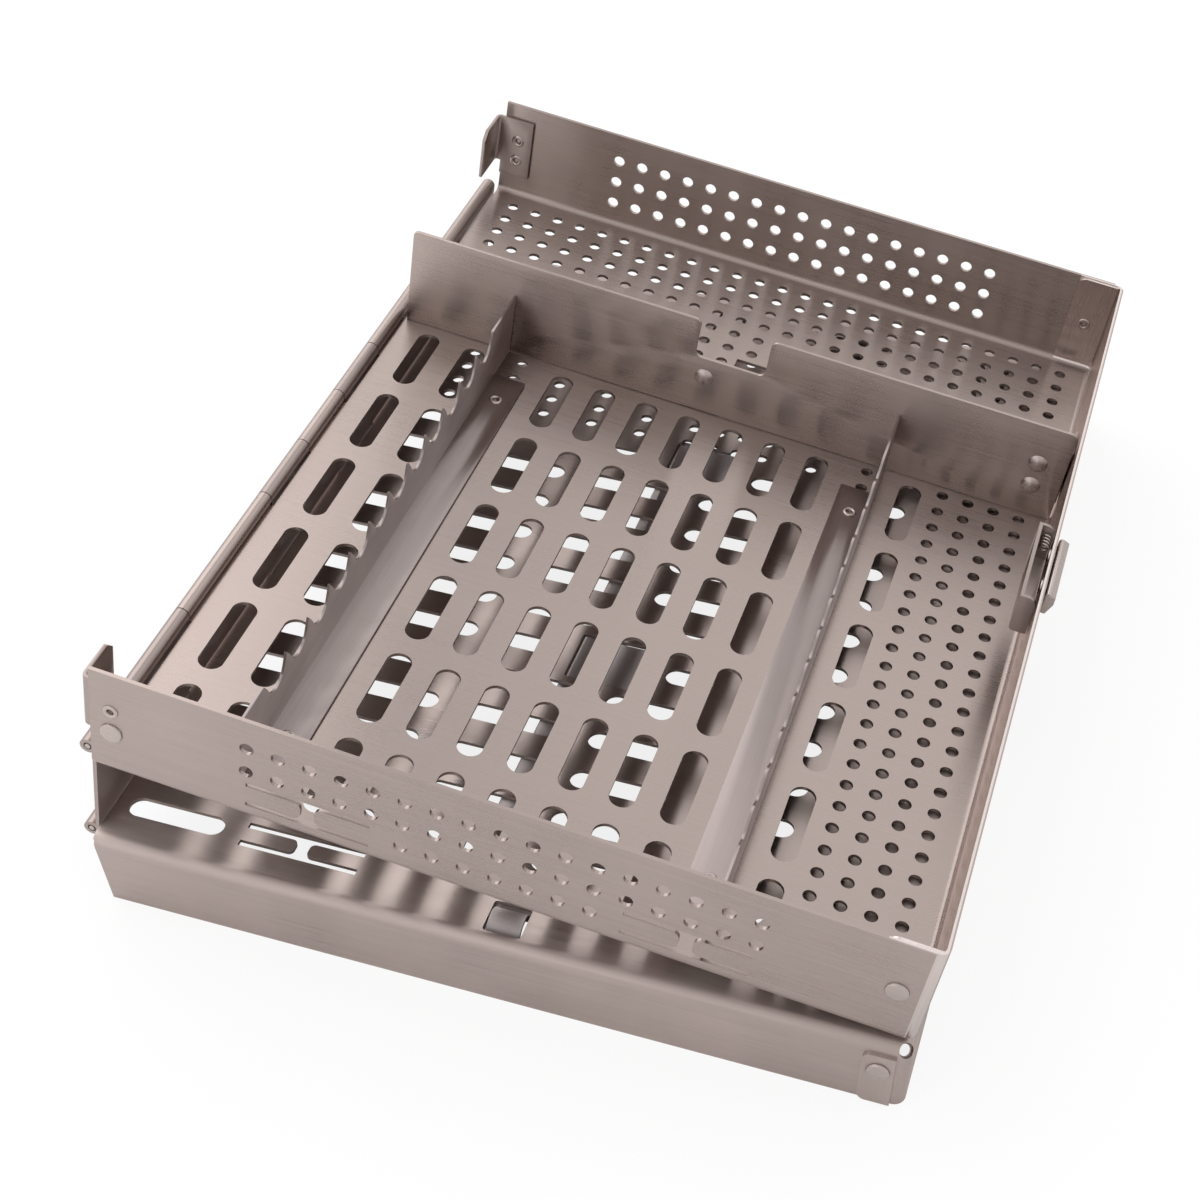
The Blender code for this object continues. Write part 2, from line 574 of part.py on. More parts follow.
def build_bracket(name, side):
    """An angle inside a wall's hinge end, with a leg that closes the corner above the hinge."""
    outer = TRAY_HALF - SHEET - FIT
    outline = [(SHEET, outer), (BRACKET_LEG, outer), (BRACKET_LEG, outer - SHEET), (2 * SHEET, outer - SHEET),
               (SHEET, outer - 2 * SHEET), (SHEET, outer - BRACKET_END), (0, outer - BRACKET_END), (0, outer - SHEET)]
    turned = [(x, side * y) for x, y in outline]
    bracket = prisms(name, [turned], "Z", FLOOR + BRACKET_Z[0], FLOOR + BRACKET_Z[1])
    under_leg = rectangle(-BEND, LEAF_GAP, FLOOR, FLOOR + BRACKET_END_Z)
    y = sorted((side * (outer - BRACKET_END - BEND), side * (outer + BEND)))
    combine(bracket, prisms("under_leg", [under_leg], "Y", *y), "DIFFERENCE")
    far_corner = [(side * (outer - BRACKET_END - FIT), FLOOR + BRACKET_Z[1] - BEND),
                  (side * (outer - BRACKET_END - FIT), FLOOR + BRACKET_Z[1] + FIT),
                  (side * (outer - BRACKET_END + BEND), FLOOR + BRACKET_Z[1] + FIT)]
    combine(bracket, prisms("far_corner", [far_corner], "X", -BEND, SHEET + FIT), "DIFFERENCE")
    holes = [polygon(BRACKET_RIVET_X, FLOOR + z, RIVET_HOLE_R, 8) for z in BRACKET_RIVET_Z]
    y = sorted((side * (outer - BEND), side * (outer + BEND)))
    combine(bracket, prisms("holes", holes, "Y", *y), "DIFFERENCE")
    return bracket


def build_housing():
    """An open-topped pocket inside the latch wall: side plate, bottom and two ends."""
    x0, x1 = POCKET_X - SHEET, TRAY_REACH - SHEET - FIT
    top = WALL_TOP - 0.4
    base = top - HOUSING_DEPTH - SHEET
    half = HOUSING_LENGTH / 2
    chamfer = 2.5
    side = [(x0, base), (x1, base), (x1, top - chamfer), (x1 - chamfer, top), (x0, top)]
    housing = prisms("latch_housing", [side], "Y", -half, half)
    room = rectangle(POCKET_X, x1 + BEND, base + SHEET, top + BEND)
    combine(housing, prisms("room", [room], "Y", SHEET - half, half - SHEET), "DIFFERENCE")
    return housing


def build_slide():
    """Thumb piece outside the latch wall: a plate, a sloping lip and a tapered cheek in front."""
    x0 = TRAY_REACH + FIT
    half = SLIDE_LENGTH / 2
    top = WALL_TOP
    low = top - SLIDE_HEIGHT
    lip_x = x0 + SLIDE_LIP
    section = [(x0, low), (x0 + SHEET, low), (x0 + SHEET, top - SHEET - FIT), (lip_x, top - SLIDE_FALL - SHEET),
               (lip_x, top - SLIDE_FALL), (x0, top)]
    slide = prisms("latch_slide", [section], "Y", -half, half)
    cheek = [(x0 + SHEET / 2, low), (x0 + 1.5 * SHEET, low), (lip_x, low + SLIDE_HEIGHT / 2),
             (lip_x, top - SLIDE_FALL - SHEET / 2), (x0 + SHEET / 2, top - SHEET)]
    combine(slide, prisms("cheek", [cheek], "Y", -half, SHEET - half), "UNION")
    studs = [polygon(y, WALL_TOP - STUD_DROP, RIVET_HOLE_R, 8) for y in (-STUD_Y, STUD_Y)]
    combine(slide, prisms("studs", studs, "X", x0 - FIT, x0 + SHEET + 2 * FIT), "DIFFERENCE")
    return slide


def build_spring():
    """Coil between the rear stud and the pocket's end plate."""
    low = STUD_Y + SMALL_R + FIT
    high = HOUSING_LENGTH / 2 - SHEET - FIT
    x, z = POCKET_X + HOUSING_WIDTH / 2, WALL_TOP - STUD_DROP
    per_turn, around = 6, 4
    run = high - low - 2 * SPRING_WIRE_R
    bm = bmesh.new()
    rings = []
    for i in range(SPRING_TURNS * per_turn + 1):
        turn = math.tau * i / per_turn
        y = low + SPRING_WIRE_R + run * i / (SPRING_TURNS * per_turn)
        ring = []
        for j in range(around):
            swing = math.tau * j / around
            r = SPRING_R + SPRING_WIRE_R * math.cos(swing)
            point = (x + r * math.cos(turn), y + SPRING_WIRE_R * math.sin(swing), z + r * math.sin(turn))
            ring.append(bm.verts.new(point))
        rings.append(ring)
    for a, b in zip(rings, rings[1:]):
        for j in range(around):
            k = (j + 1) % around
            bm.faces.new((a[j], a[k], b[k], b[j]))
    bm.faces.new(rings[0])
    bm.faces.new(list(reversed(rings[-1])))
    return place("latch_spring", bm)


def build_bar():
    """Strip under the lid with a pad in each window and an arched end that stands out in front."""
    top = LID_INSIDE - FIT
    low = top - SHEET
    bar = prisms("hold_down_bar", [rectangle(*BAR_X, *BAR_Y)], "Z", low, top)
    pad_top = LID_RISE - SHEET / 2
    for y0, y1 in WINDOWS_Y:
        pad = rectangle(WINDOW_X[0] + 2 * FIT, WINDOW_X[1] - 2 * FIT, y0 + 2 * FIT, min(y1, BAR_Y[1]) - 2 * FIT)
        combine(bar, prisms("pad", [pad], "Z", top - SHEET / 2, pad_top), "UNION")
    centre_z = LID_RISE + ARCH_RISE - ARCH_R
    steps = 6
    turns = [math.pi * i / steps for i in range(steps + 1)]
    arch = [(ARCH_Y + ARCH_R * math.cos(t), centre_z + ARCH_R * math.sin(t)) for t in turns]
    inner = ARCH_R - SHEET
    arch += [(ARCH_Y + inner * math.cos(t), centre_z + inner * math.sin(t)) for t in reversed(turns)]
    combine(bar, prisms("arch", [arch], "X", *ARCH_X), "UNION")
    arm = rectangle(BAR_X[1] - SHEET, ARCH_X[1], ARCH_Y + ARCH_R - SHEET, ARCH_Y + ARCH_R + 6)
    combine(bar, prisms("arm", [arm], "Z", low, top - FIT / 2), "UNION")
    holes = [polygon(bar_rivet_x(), y, RIVET_HOLE_R, 8) for y in BAR_RIVETS_Y]
    combine(bar, prisms("holes", holes, "Z", low - FIT, top + FIT), "DIFFERENCE")
    return bar


def build_rivet(name, origin, direction, grip, outer_r, inner_r=SMALL_R):
    """A turned rivet. Its outer head's seat is at origin, and grip is the sheet it holds."""
    back = -grip - SEAT
    profile = [(0, SEAT + HEAD_HEIGHT), (outer_r, SEAT), (SHANK_R, SEAT),
               (SHANK_R, back), (inner_r, back), (0, back - HEAD_HEIGHT)]
    sides = 8
    bm = bmesh.new()
    rings = []
    turns = [math.tau * i / sides for i in range(sides)]
    for r, h in profile:
        if r == 0:
            rings.append([bm.verts.new((0, 0, h))])
            continue
        rings.append([bm.verts.new((r * math.cos(turn), r * math.sin(turn), h)) for turn in turns])
    for a, b in zip(rings, rings[1:]):
        for i in range(sides):
            j = (i + 1) % sides
            if len(a) == 1:
                bm.faces.new((a[0], b[i], b[j]))
            elif len(b) == 1:
                bm.faces.new((a[i], a[j], b[0]))
            else:
                bm.faces.new((a[i], a[j], b[j], b[i]))
    turn = {"+Y": Matrix.Rotation(-math.pi / 2, 4, "X"), "-Y": Matrix.Rotation(math.pi / 2, 4, "X"),
            "+Z": Matrix.Identity(4), "+X": Matrix.Rotation(math.pi / 2, 4, "Y")}[direction]
    bmesh.ops.transform(bm, matrix=Matrix.Translation(origin) @ turn, verts=bm.verts)
    return place(name, bm)


def tray_rivets():
    rivets = []
    wall_grip = 2 * SHEET + FIT
    for side, word, direction in ((-1, "front", "-Y"), (1, "rear", "+Y")):
        y = side * TRAY_HALF
        for z, level, head in zip(BRACKET_RIVET_Z, ("lower", "upper"), (DOME_R, SMALL_R)):
            name = "bracket_rivet_" + word + "_" + level
            rivets.append(build_rivet(name, (BRACKET_RIVET_X, y, FLOOR + z), direction, wall_grip, head))
        x = corner_rivet(TRAY_REACH, CORNER_TAB)
        origin = (x, y, FLOOR + WALL_HEIGHT / 2)
        rivets.append(build_rivet("corner_rivet_" + word, origin, direction, 2 * SHEET, DOME_R))
    for word, x in (("left", RACK_LEFT_X + RACK_FOOT / 2), ("right", RACK_RIGHT_X - RACK_FOOT / 2)):
        for end, y in zip(("rear", "front"), rack_rivets_y()):
            origin = (x, y, FLOOR + FIT + RACK_SHEET)
            grip = SHEET + FIT + RACK_SHEET
            name = "rack_rivet_" + word + "_" + end
            rivets.append(build_rivet(name, origin, "+Z", grip, SMALL_R, SHANK_R + FIT * 2))
    for word, (x, z) in zip(("middle", "lower", "upper"), divider_rivets()):
        rivets.append(build_rivet("divider_rivet_" + word, (x, DIVIDER_Y, z), "-Y", wall_grip, DOME_R))
    return rivets


def build_stud(name, y):
    """A rivet of the slide: its round head is in the pocket and its shank runs in the wall's track."""
    inside = TRAY_REACH - SHEET
    origin = (TRAY_REACH + FIT + SHEET, y, WALL_TOP - STUD_DROP)
    return build_rivet(name, origin, "+X", origin[0] - inside, SMALL_R, SMALL_R)


def lid_rivets():
    rivets = []
    z = FLANGE_END + LID_RIVET_Z
    for side, word, direction in ((-1, "front", "-Y"), (1, "rear", "+Y")):
        origin = (corner_rivet(LID_REACH, LID_TAB), side * (LID_HALF + SHEET), z)
        rivets.append(build_rivet("lid_rivet_" + word, origin, direction, 2 * SHEET, DOME_R))
    for word, y in zip(("front", "rear"), BAR_RIVETS_Y):
        origin = (bar_rivet_x(), y, LID_RISE)
        rivets.append(build_rivet("bar_rivet_" + word, origin, "+Z", 2 * SHEET + FIT, SMALL_R))
    return rivets


def finish(name, colour, roughness):
    """Brushed steel of one shade."""
    material = bpy.data.materials.new(name)
    material.use_nodes = True
    shader = material.node_tree.nodes["Principled BSDF"]
    shader.inputs["Base Color"].default_value = (*colour, 1)
    shader.inputs["Metallic"].default_value = 1.0
    shader.inputs["Roughness"].default_value = roughness
    return material


def frame(name, parent, location, lean):
    empty = bpy.data.objects.new(name, None)
    bpy.context.scene.collection.objects.link(empty)
    empty.parent = parent
    empty.location = [MM * c for c in location]
    empty.rotation_euler = (0, lean, 0)
    return empty


def merge_flats(piece):
    """Join the flat faces that the cuts left split."""
    bm = bmesh.new()
    bm.from_mesh(piece.data)
    bmesh.ops.dissolve_limit(bm, angle_limit=math.radians(0.1), verts=bm.verts, edges=bm.edges)
    bmesh.ops.triangulate(bm, faces=bm.faces)
    bm.to_mesh(piece.data)
    bm.free()


def attach(pieces, parent, colour, roughness):
    for piece in pieces:
        merge_flats(piece)
        piece.data.transform(Matrix.Scale(MM, 4))
        piece.parent = parent
        piece.data.materials.clear()
        piece.data.materials.append(finish(piece.name + "_steel", colour, roughness))


def stand_on_origin(root):
    """Move the cassette so that the middle of its footprint is at the origin."""
    bpy.context.view_layer.update()
    meshes = [obj for obj in bpy.data.objects if obj.type == "MESH"]
    corners = [obj.matrix_world @ v.co for obj in meshes for v in obj.data.vertices]
    low = [min(c[i] for c in corners) for i in range(3)]
    high = [max(c[i] for c in corners) for i in range(3)]
    root.location = (-(low[0] + high[0]) / 2, -(low[1] + high[1]) / 2, -low[2])
    bpy.context.view_layer.update()


cassette = frame("cassette", None, (0, 0, 0), 0)
lid_frame = frame("lid_frame", cassette, (0, 0, 0), 0)
tray_axis = (HINGE_SPAN * math.sin(LEAN), 0, HINGE_SPAN * math.cos(LEAN))
tray_frame = frame("tray_frame", cassette, tray_axis, LEAN)
spine_frame = frame("spine_frame", cassette, tray_axis, LEAN)
slide_frame = frame("slide_frame", tray_frame, (0, 0, 0), 0)

sheet_colour = (0.42, 0.37, 0.35)
dark_colour = (0.24, 0.21, 0.20)
pin_colour = (0.55, 0.52, 0.50)
bar_colour = (0.34, 0.36, 0.38)

attach([build_tray()], tray_frame, sheet_colour, 0.32)
attach([build_lid()], lid_frame, sheet_colour, 0.28)
attach([build_spine(), build_pin("base_hinge_pin")], spine_frame, dark_colour, 0.35)
lid_pin = build_pin("lid_hinge_pin")
attach([lid_pin], lid_frame, pin_colour, 0.3)
fittings = [
    build_divider(), build_divider_angle(), build_divider_foot(),
    build_rack("rack_left", RACK_LEFT_X, 1, RACK_LOW, RACK_TIP, True),
    build_rack("rack_right", RACK_RIGHT_X, -1, WAVE_LOW, WAVE_TIP, False),
    build_bracket("corner_bracket_front", -1), build_bracket("corner_bracket_rear", 1),
    build_housing(), build_spring(),
]
attach(fittings + tray_rivets(), tray_frame, dark_colour, 0.3)
attach([build_slide(), build_stud("latch_stud_front", -STUD_Y), build_stud("latch_stud_rear", STUD_Y)],
       slide_frame, pin_colour, 0.25)
attach([build_bar()], lid_frame, bar_colour, 0.4)
attach(lid_rivets(), lid_frame, pin_colour, 0.3)

round_pieces = ("pin", "rivet", "stud", "spring")
for obj in bpy.data.objects:
    if obj.type == "MESH" and any(word in obj.name for word in round_pieces):
        obj.data.shade_smooth()
        obj.data.set_sharp_from_angle(angle=math.radians(35))

stand_on_origin(cassette)
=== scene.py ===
import json
import math

import bmesh
import bpy
from mathutils import Matrix, Vector


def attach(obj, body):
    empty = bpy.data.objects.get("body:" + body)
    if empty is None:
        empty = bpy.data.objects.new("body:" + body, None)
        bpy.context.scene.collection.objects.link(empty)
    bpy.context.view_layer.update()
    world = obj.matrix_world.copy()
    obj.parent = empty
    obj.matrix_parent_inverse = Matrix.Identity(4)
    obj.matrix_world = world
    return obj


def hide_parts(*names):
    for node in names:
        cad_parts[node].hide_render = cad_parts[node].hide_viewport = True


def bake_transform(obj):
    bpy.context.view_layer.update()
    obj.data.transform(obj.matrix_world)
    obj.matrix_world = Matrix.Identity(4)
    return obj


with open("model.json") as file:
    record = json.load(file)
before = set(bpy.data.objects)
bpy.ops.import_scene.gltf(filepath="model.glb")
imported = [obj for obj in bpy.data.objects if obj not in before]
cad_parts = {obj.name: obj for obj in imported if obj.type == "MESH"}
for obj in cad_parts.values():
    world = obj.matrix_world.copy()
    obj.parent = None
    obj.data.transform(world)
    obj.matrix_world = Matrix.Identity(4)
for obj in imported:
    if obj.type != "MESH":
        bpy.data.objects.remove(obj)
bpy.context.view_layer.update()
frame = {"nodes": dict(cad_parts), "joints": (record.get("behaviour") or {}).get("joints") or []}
print("frame loaded")

# Pieces are drawn in millimetres in the frame of a hinge: X runs from the hinge to the latch side,
# Y to the rear, and Z is normal to the plate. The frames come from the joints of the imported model.
hingeAt = {joint["name"]: Vector(joint["pos_m"]) for joint in frame["joints"] if joint["type"] == "hinge"}
spineRise = hingeAt["base_hinge"] - hingeAt["lid_hinge"]
lean = math.atan2(spineRise.x, spineRise.z)
inMillimetres = Matrix.Scale(0.001, 4)
trayFrame = Matrix.Translation(hingeAt["base_hinge"]) @ Matrix.Rotation(lean, 4, "Y") @ inMillimetres
lidFrame = Matrix.Translation(hingeAt["lid_hinge"]) @ inMillimetres

sheet = {
    "thick": 1.0, "bend": 3.0, "bendSteps": 8, "fit": 0.3, "lap": 0.02, "merge": 0.0005,
    "soften": 0.12, "foldRound": 1.6, "boreSides": 20,
    "punchDepth": 8.0, "slotSides": 24, "holeSides": 18,
    "flat": 0.9995, "sharpAngle": 35,   # cosine to an axis that makes a face flat, and angle of a sharp edge
}
thick = sheet["thick"]
fit = sheet["fit"]
bend = sheet["bend"]
soften = sheet["soften"]
axes = (Vector((1, 0, 0)), Vector((0, 1, 0)), Vector((0, 0, 1)))


# Mesh tools

def linkObject(name, data):
    made = bpy.data.objects.new(name, data)
    bpy.context.scene.collection.objects.link(made)
    return made


def linkMesh(name, bm):
    mesh = bpy.data.meshes.new(name)
    bmesh.ops.recalc_face_normals(bm, faces=bm.faces)
    bm.to_mesh(mesh)
    bm.free()
    return linkObject(name, mesh)


def asTriangles(piece):
    bm = bmesh.new()
    bm.from_mesh(piece.data)
    bmesh.ops.remove_doubles(bm, verts=bm.verts, dist=sheet["merge"])
    bmesh.ops.triangulate(bm, faces=bm.faces)
    bm.to_mesh(piece.data)
    bm.free()


def evaluatedMesh(piece):
    bpy.context.view_layer.update()
    graph = bpy.context.evaluated_depsgraph_get()
    return bpy.data.meshes.new_from_object(piece.evaluated_get(graph))


def combine(target, tool, operation):
    asTriangles(tool)
    step = target.modifiers.new("step", "BOOLEAN")
    step.operation = operation
    step.solver = "EXACT"
    step.object = tool
    mesh = evaluatedMesh(target)
    target.modifiers.clear()
    target.data = mesh
    bpy.data.objects.remove(tool)
    asTriangles(target)


def addPrism(bm, outline, axis, low, high):
    def layer(height):
        at = "XYZ".index(axis)
        return [bm.verts.new((*point[:at], height, *point[at:])) for point in outline]

    lower, upper = layer(low), layer(high)
    bm.faces.new(lower)
    bm.faces.new(upper)
    for i in range(len(outline)):
        j = (i + 1) % len(outline)
        bm.faces.new((lower[i], lower[j], upper[j], upper[i]))


def prisms(name, outlines, axis, low, high):
    bm = bmesh.new()
    for outline in outlines:
        addPrism(bm, outline, axis, low, high)
    return linkMesh(name, bm)


def rectangle(a0, a1, b0, b1):
    return [(a0, b0), (a1, b0), (a1, b1), (a0, b1)]


def ring(a, b, radius, sides):
    return [(a + radius * math.cos(math.tau * i / sides), b + radius * math.sin(math.tau * i / sides))
            for i in range(sides)]


def roundCorners(outline, radii, steps=6):
    rounded = []
    count = len(outline)
    for i, point in enumerate(outline):
        radius = radii[i] if isinstance(radii, (list, tuple)) else radii
        here = Vector(point)
        if not radius:
            rounded.append(tuple(here))
            continue
        back = (Vector(outline[i - 1]) - here).normalized()
        ahead = (Vector(outline[(i + 1) % count]) - here).normalized()
        half = back.angle(ahead) / 2
        reach = radius / math.tan(half)
        middle = here + (back + ahead).normalized() * radius / math.sin(half)
        start, end = here + back * reach - middle, here + ahead * reach - middle
        sweep = start.angle_signed(end)
        for step in range(steps + 1):
            spoke = Matrix.Rotation(-sweep * step / steps, 2) @ start
            rounded.append(tuple(middle + spoke))
    return rounded


def softenEdges(piece, width, sharper=40):
    bm = bmesh.new()
    bm.from_mesh(piece.data)
    edges = [e for e in bm.edges if len(e.link_faces) == 2 and e.calc_face_angle() > math.radians(sharper)]
    bmesh.ops.bevel(bm, geom=edges, offset=width, segments=2, profile=0.5, affect="EDGES", clamp_overlap=True)
    bm.to_mesh(piece.data)
    bm.free()


def formedPiece(name, outline, axis, low, high, sharper=60, width=soften):
    piece = prisms(name, [outline], axis, low, high)
    softenEdges(piece, width, sharper)
    asTriangles(piece)
    return piece


def smoothRounds(piece):
    mesh = piece.data
    for face in mesh.polygons:
        face.use_smooth = all(abs(face.normal.dot(axis)) < sheet["flat"] for axis in axes)
    mesh.set_sharp_from_angle(angle=math.radians(sheet["sharpAngle"]))


# Node tools: sockets are linked, and other values are set

def fillNode(tree, node, given):
    for socket, value in given.items():
        if isinstance(value, bpy.types.NodeSocket):
            tree.links.new(value, node.inputs[socket])
        else:
            node.inputs[socket].default_value = value
    return node


def addNode(tree, kind, given, **settings):
    node = tree.nodes.new(kind)
    for name, value in settings.items():
        setattr(node, name, value)
    return fillNode(tree, node, given)


def mathNode(tree, operation, *values):
    return addNode(tree, "ShaderNodeMath", dict(enumerate(values)), operation=operation).outputs["Value"]


# Brushed steel

steel = {
    # Each tabs box holds the folded tabs (and in the tray also the latch wall's inner face). There the grain
    # runs upright, and the tab colour set there is a painted highlight: a lighter colour for the light those
    # faces catch.
    "tray": {"colour": (0.40, 0.330, 0.305), "rough": (0.25, 0.33), "grain": 1.0, "lean": lean,
             "tabs": ((193.2, 0, -1), (206.6, 140.2, 32)), "tabHighlightColour": (0.64, 0.565, 0.54)},
    "lid": {"colour": (0.44, 0.365, 0.34), "rough": (0.25, 0.42), "grain": 1.0, "lean": 0,
            "tabs": ((196, 142.7, -20), (210, 146, 0.5)), "tabHighlightColour": (0.50, 0.42, 0.39)},
    "divider": {"colour": (0.40, 0.330, 0.305), "rough": (0.25, 0.31), "grain": 1.0, "lean": lean},
    "fittings": {"colour": (0.39, 0.323, 0.30), "rough": (0.30, 0.40), "grain": 0.8, "lean": lean},
    "racks": {"colour": (0.385, 0.329, 0.318), "rough": (0.34, 0.42), "grain": 0.4, "lean": lean,
              "lengthwise": True},
    "pins": {"colour": (0.46, 0.395, 0.37), "rough": (0.2, 0.3), "grain": 0.3, "lean": lean},
    # The bar's colour is lightened as painted light, so that its pads, which lie in shade under the lid, look
    # lit.
    "bar": {"colour": (0.48, 0.43, 0.42), "rough": (0.40, 0.52), "grain": 0.6, "lean": 0},
    "anisotropy": 1.0,
    "anisotropyTurn": 0.25,
    "grainAlong": (0.99, 0.02, 0.08),   # direction of the brushing, never square to a face
    "grainCell": (0.03, 0.0004, 0.0004),   # size of a noise cell, along and across the brushing
    "grainDetail": 4.0,
    "cloudScale": 38,
    "cloudDetail": 5.0,
    "grainShare": 0.5,
    "noiseSpan": (0.3, 0.7),   # the noise's values that are spread over roughness and shade
    "cloudShade": 0.10,
    "bumpDepth": 0.00002,
}


def insideBox(tree, vector, box):
    parts = addNode(tree, "ShaderNodeSeparateXYZ", {"Vector": vector})
    found = None
    for axis, (low, high) in zip("XYZ", zip(*box)):
        value = parts.outputs[axis]
        if axis == "Y":
            value = mathNode(tree, "ABSOLUTE", value)
        near = mathNode(tree, "COMPARE", value, (low + high) / 2, (high - low) / 2)
        found = mathNode(tree, "MULTIPLY", found, near) if found else near
    return found


def brushedSteel(name):
    look = steel[name]
    material = bpy.data.materials.new("brushed_" + name)
    material.use_nodes = True
    tree = material.node_tree
    place = addNode(tree, "ShaderNodeTexCoord", {}).outputs["Object"]
    turn = {"Vector": place, "Rotation": (0, look["lean"], 0)}
    level = addNode(tree, "ShaderNodeMapping", turn, vector_type="TEXTURE").outputs["Vector"]
    onTabs = insideBox(tree, level, look["tabs"]) if "tabs" in look else 0

    def mixed(plain, tab):
        return addNode(tree, "ShaderNodeMix", {0: onTabs, 4: plain, 5: tab}, data_type="VECTOR").outputs[1]

    def brushed(values):
        if look.get("lengthwise"):
            values = (values[1], values[0], values[2])
        return mixed(values, (values[2], values[1], values[0]))

    def noise(vector, scale, detail):
        given = {"Vector": vector, "Scale": scale, "Detail": detail}
        return addNode(tree, "ShaderNodeTexNoise", given).outputs["Fac"]

    cells = {0: level, 1: brushed(steel["grainCell"])}
    stretched = addNode(tree, "ShaderNodeVectorMath", cells, operation="DIVIDE").outputs["Vector"]
    grain = noise(stretched, 1.0, steel["grainDetail"])
    cloud = noise(place, steel["cloudScale"], steel["cloudDetail"])
    share = steel["grainShare"]
    both = mathNode(tree, "MULTIPLY_ADD", grain, share, mathNode(tree, "MULTIPLY", cloud, 1 - share))

    def spread(low, high):
        start, end = steel["noiseSpan"]
        given = {"Value": both, "From Min": start, "From Max": end, "To Min": low, "To Max": high}
        return addNode(tree, "ShaderNodeMapRange", given).outputs["Result"]

    # Painted highlight: on the tabs the colour is mixed towards a lighter one for the light they catch.
    colour = mixed(look["colour"], look["tabHighlightColour"]) if onTabs else look["colour"]
    shade = spread(1 - steel["cloudShade"], 1 + steel["cloudShade"])
    tint = addNode(tree, "ShaderNodeVectorMath", {0: colour, "Scale": shade}, operation="SCALE")
    relief = {"Height": grain, "Strength": look["grain"], "Distance": steel["bumpDepth"]}
    fillNode(tree, tree.nodes["Principled BSDF"], {
        "Base Color": tint.outputs["Vector"], "Metallic": 1.0, "Roughness": spread(*look["rough"]),
        "Anisotropic": steel["anisotropy"], "Anisotropic Rotation": steel["anisotropyTurn"],
        "Tangent": brushed(steel["grainAlong"]),
        "Normal": addNode(tree, "ShaderNodeBump", relief).outputs["Normal"]})
    return material


for look, place in ((steel["tray"], trayFrame), (steel["lid"], lidFrame)):
    levelled = Matrix.Rotation(-look["lean"], 4, "Y") @ place
    look["tabs"] = [tuple(levelled @ Vector(corner)) for corner in look["tabs"]]
finishes = {name: brushedSteel(name) for name, look in steel.items() if isinstance(look, dict)}
print("steel finishes ready")


def settle(piece, place, body, finish, replaced, ends=None):
    piece.data.transform(place)
    piece.data.materials.clear()
    piece.data.materials.append(finishes[finish])
    for node in replaced:
        frame["nodes"][node].data.materials.clear()
        frame["nodes"][node].data.materials.append(finishes[finish])
    if ends:
        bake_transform(piece)
    else:
        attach(piece, body)
    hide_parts(*replaced)
    print(piece.name, len(piece.data.polygons), "faces")


# Perforations: a grid of round-ended cutters, one tree for every field of holes

def startTree(name, sockets):
    tree = bpy.data.node_groups.new(name, "GeometryNodeTree")
    tree.is_modifier = True
    tree.interface.new_socket("Geometry", in_out="INPUT", socket_type="NodeSocketGeometry")
    for socket, kind in sockets:
        tree.interface.new_socket(socket, in_out="INPUT", socket_type="NodeSocket" + kind)
    tree.interface.new_socket("Geometry", in_out="OUTPUT", socket_type="NodeSocketGeometry")
    return tree, tree.nodes.new("NodeGroupInput").outputs


def finishTree(tree, metal, placing):
    placed = addNode(tree, "GeometryNodeInstanceOnPoints", placing).outputs["Instances"]
    real = addNode(tree, "GeometryNodeRealizeInstances", {"Geometry": placed}).outputs["Geometry"]
    coated = addNode(tree, "GeometryNodeSetMaterial", {"Geometry": real, "Material": metal})
    addNode(tree, "NodeGroupOutput", {"Geometry": coated.outputs["Geometry"]})
    return tree


def perforationTree():
    tree, given = startTree("perforations", (
        ("Columns", "Int"), ("Rows", "Int"), ("Column Pitch", "Float"), ("Row Pitch", "Float"),
        ("Radius", "Float"), ("Half Run", "Float"), ("Depth", "Float"), ("Sides", "Int"),
        ("Turn", "Float"), ("Metal", "Material")))

    def span(count, pitch):
        return mathNode(tree, "MULTIPLY", mathNode(tree, "SUBTRACT", given[count], 1), given[pitch])

    def along(axis, value):
        return addNode(tree, "ShaderNodeCombineXYZ", {axis: value}).outputs["Vector"]

    grid = addNode(tree, "GeometryNodeMeshGrid", {
        "Vertices X": given["Columns"], "Vertices Y": given["Rows"],
        "Size X": span("Columns", "Column Pitch"), "Size Y": span("Rows", "Row Pitch")})
    halfSide = mathNode(tree, "DIVIDE", math.pi, given["Sides"])
    radius = mathNode(tree, "DIVIDE", given["Radius"], mathNode(tree, "COSINE", halfSide))
    size = {"Vertices": given["Sides"], "Radius": radius, "Depth": given["Depth"]}
    punch = addNode(tree, "GeometryNodeMeshCylinder", size, fill_type="NGON").outputs["Mesh"]
    evening = {"Geometry": punch, "Rotation": along("Z", halfSide)}
    evened = addNode(tree, "GeometryNodeTransform", evening).outputs["Geometry"]

    position = addNode(tree, "GeometryNodeInputPosition", {}).outputs["Position"]
    across = addNode(tree, "ShaderNodeSeparateXYZ", {"Vector": position}).outputs["X"]
    run = mathNode(tree, "MULTIPLY", mathNode(tree, "SIGN", across), given["Half Run"])
    drawing = {"Geometry": evened, "Offset": along("X", run)}
    drawn = addNode(tree, "GeometryNodeSetPosition", drawing).outputs["Geometry"]
    return finishTree(tree, given["Metal"], {
        "Points": grid.outputs["Mesh"], "Instance": drawn, "Rotation": along("Z", given["Turn"])})


punches = perforationTree()


def runTree(tree, values, mesh=None):
    holder = linkObject(tree.name, mesh or bpy.data.meshes.new(tree.name))
    step = holder.modifiers.new(tree.name, "NODES")
    step.node_group = tree
    for item in tree.interface.items_tree:
        if item.in_out == "INPUT" and item.name in values:
            step[item.identifier] = values[item.name]
    made = evaluatedMesh(holder)
    bpy.data.objects.remove(holder)
    return made


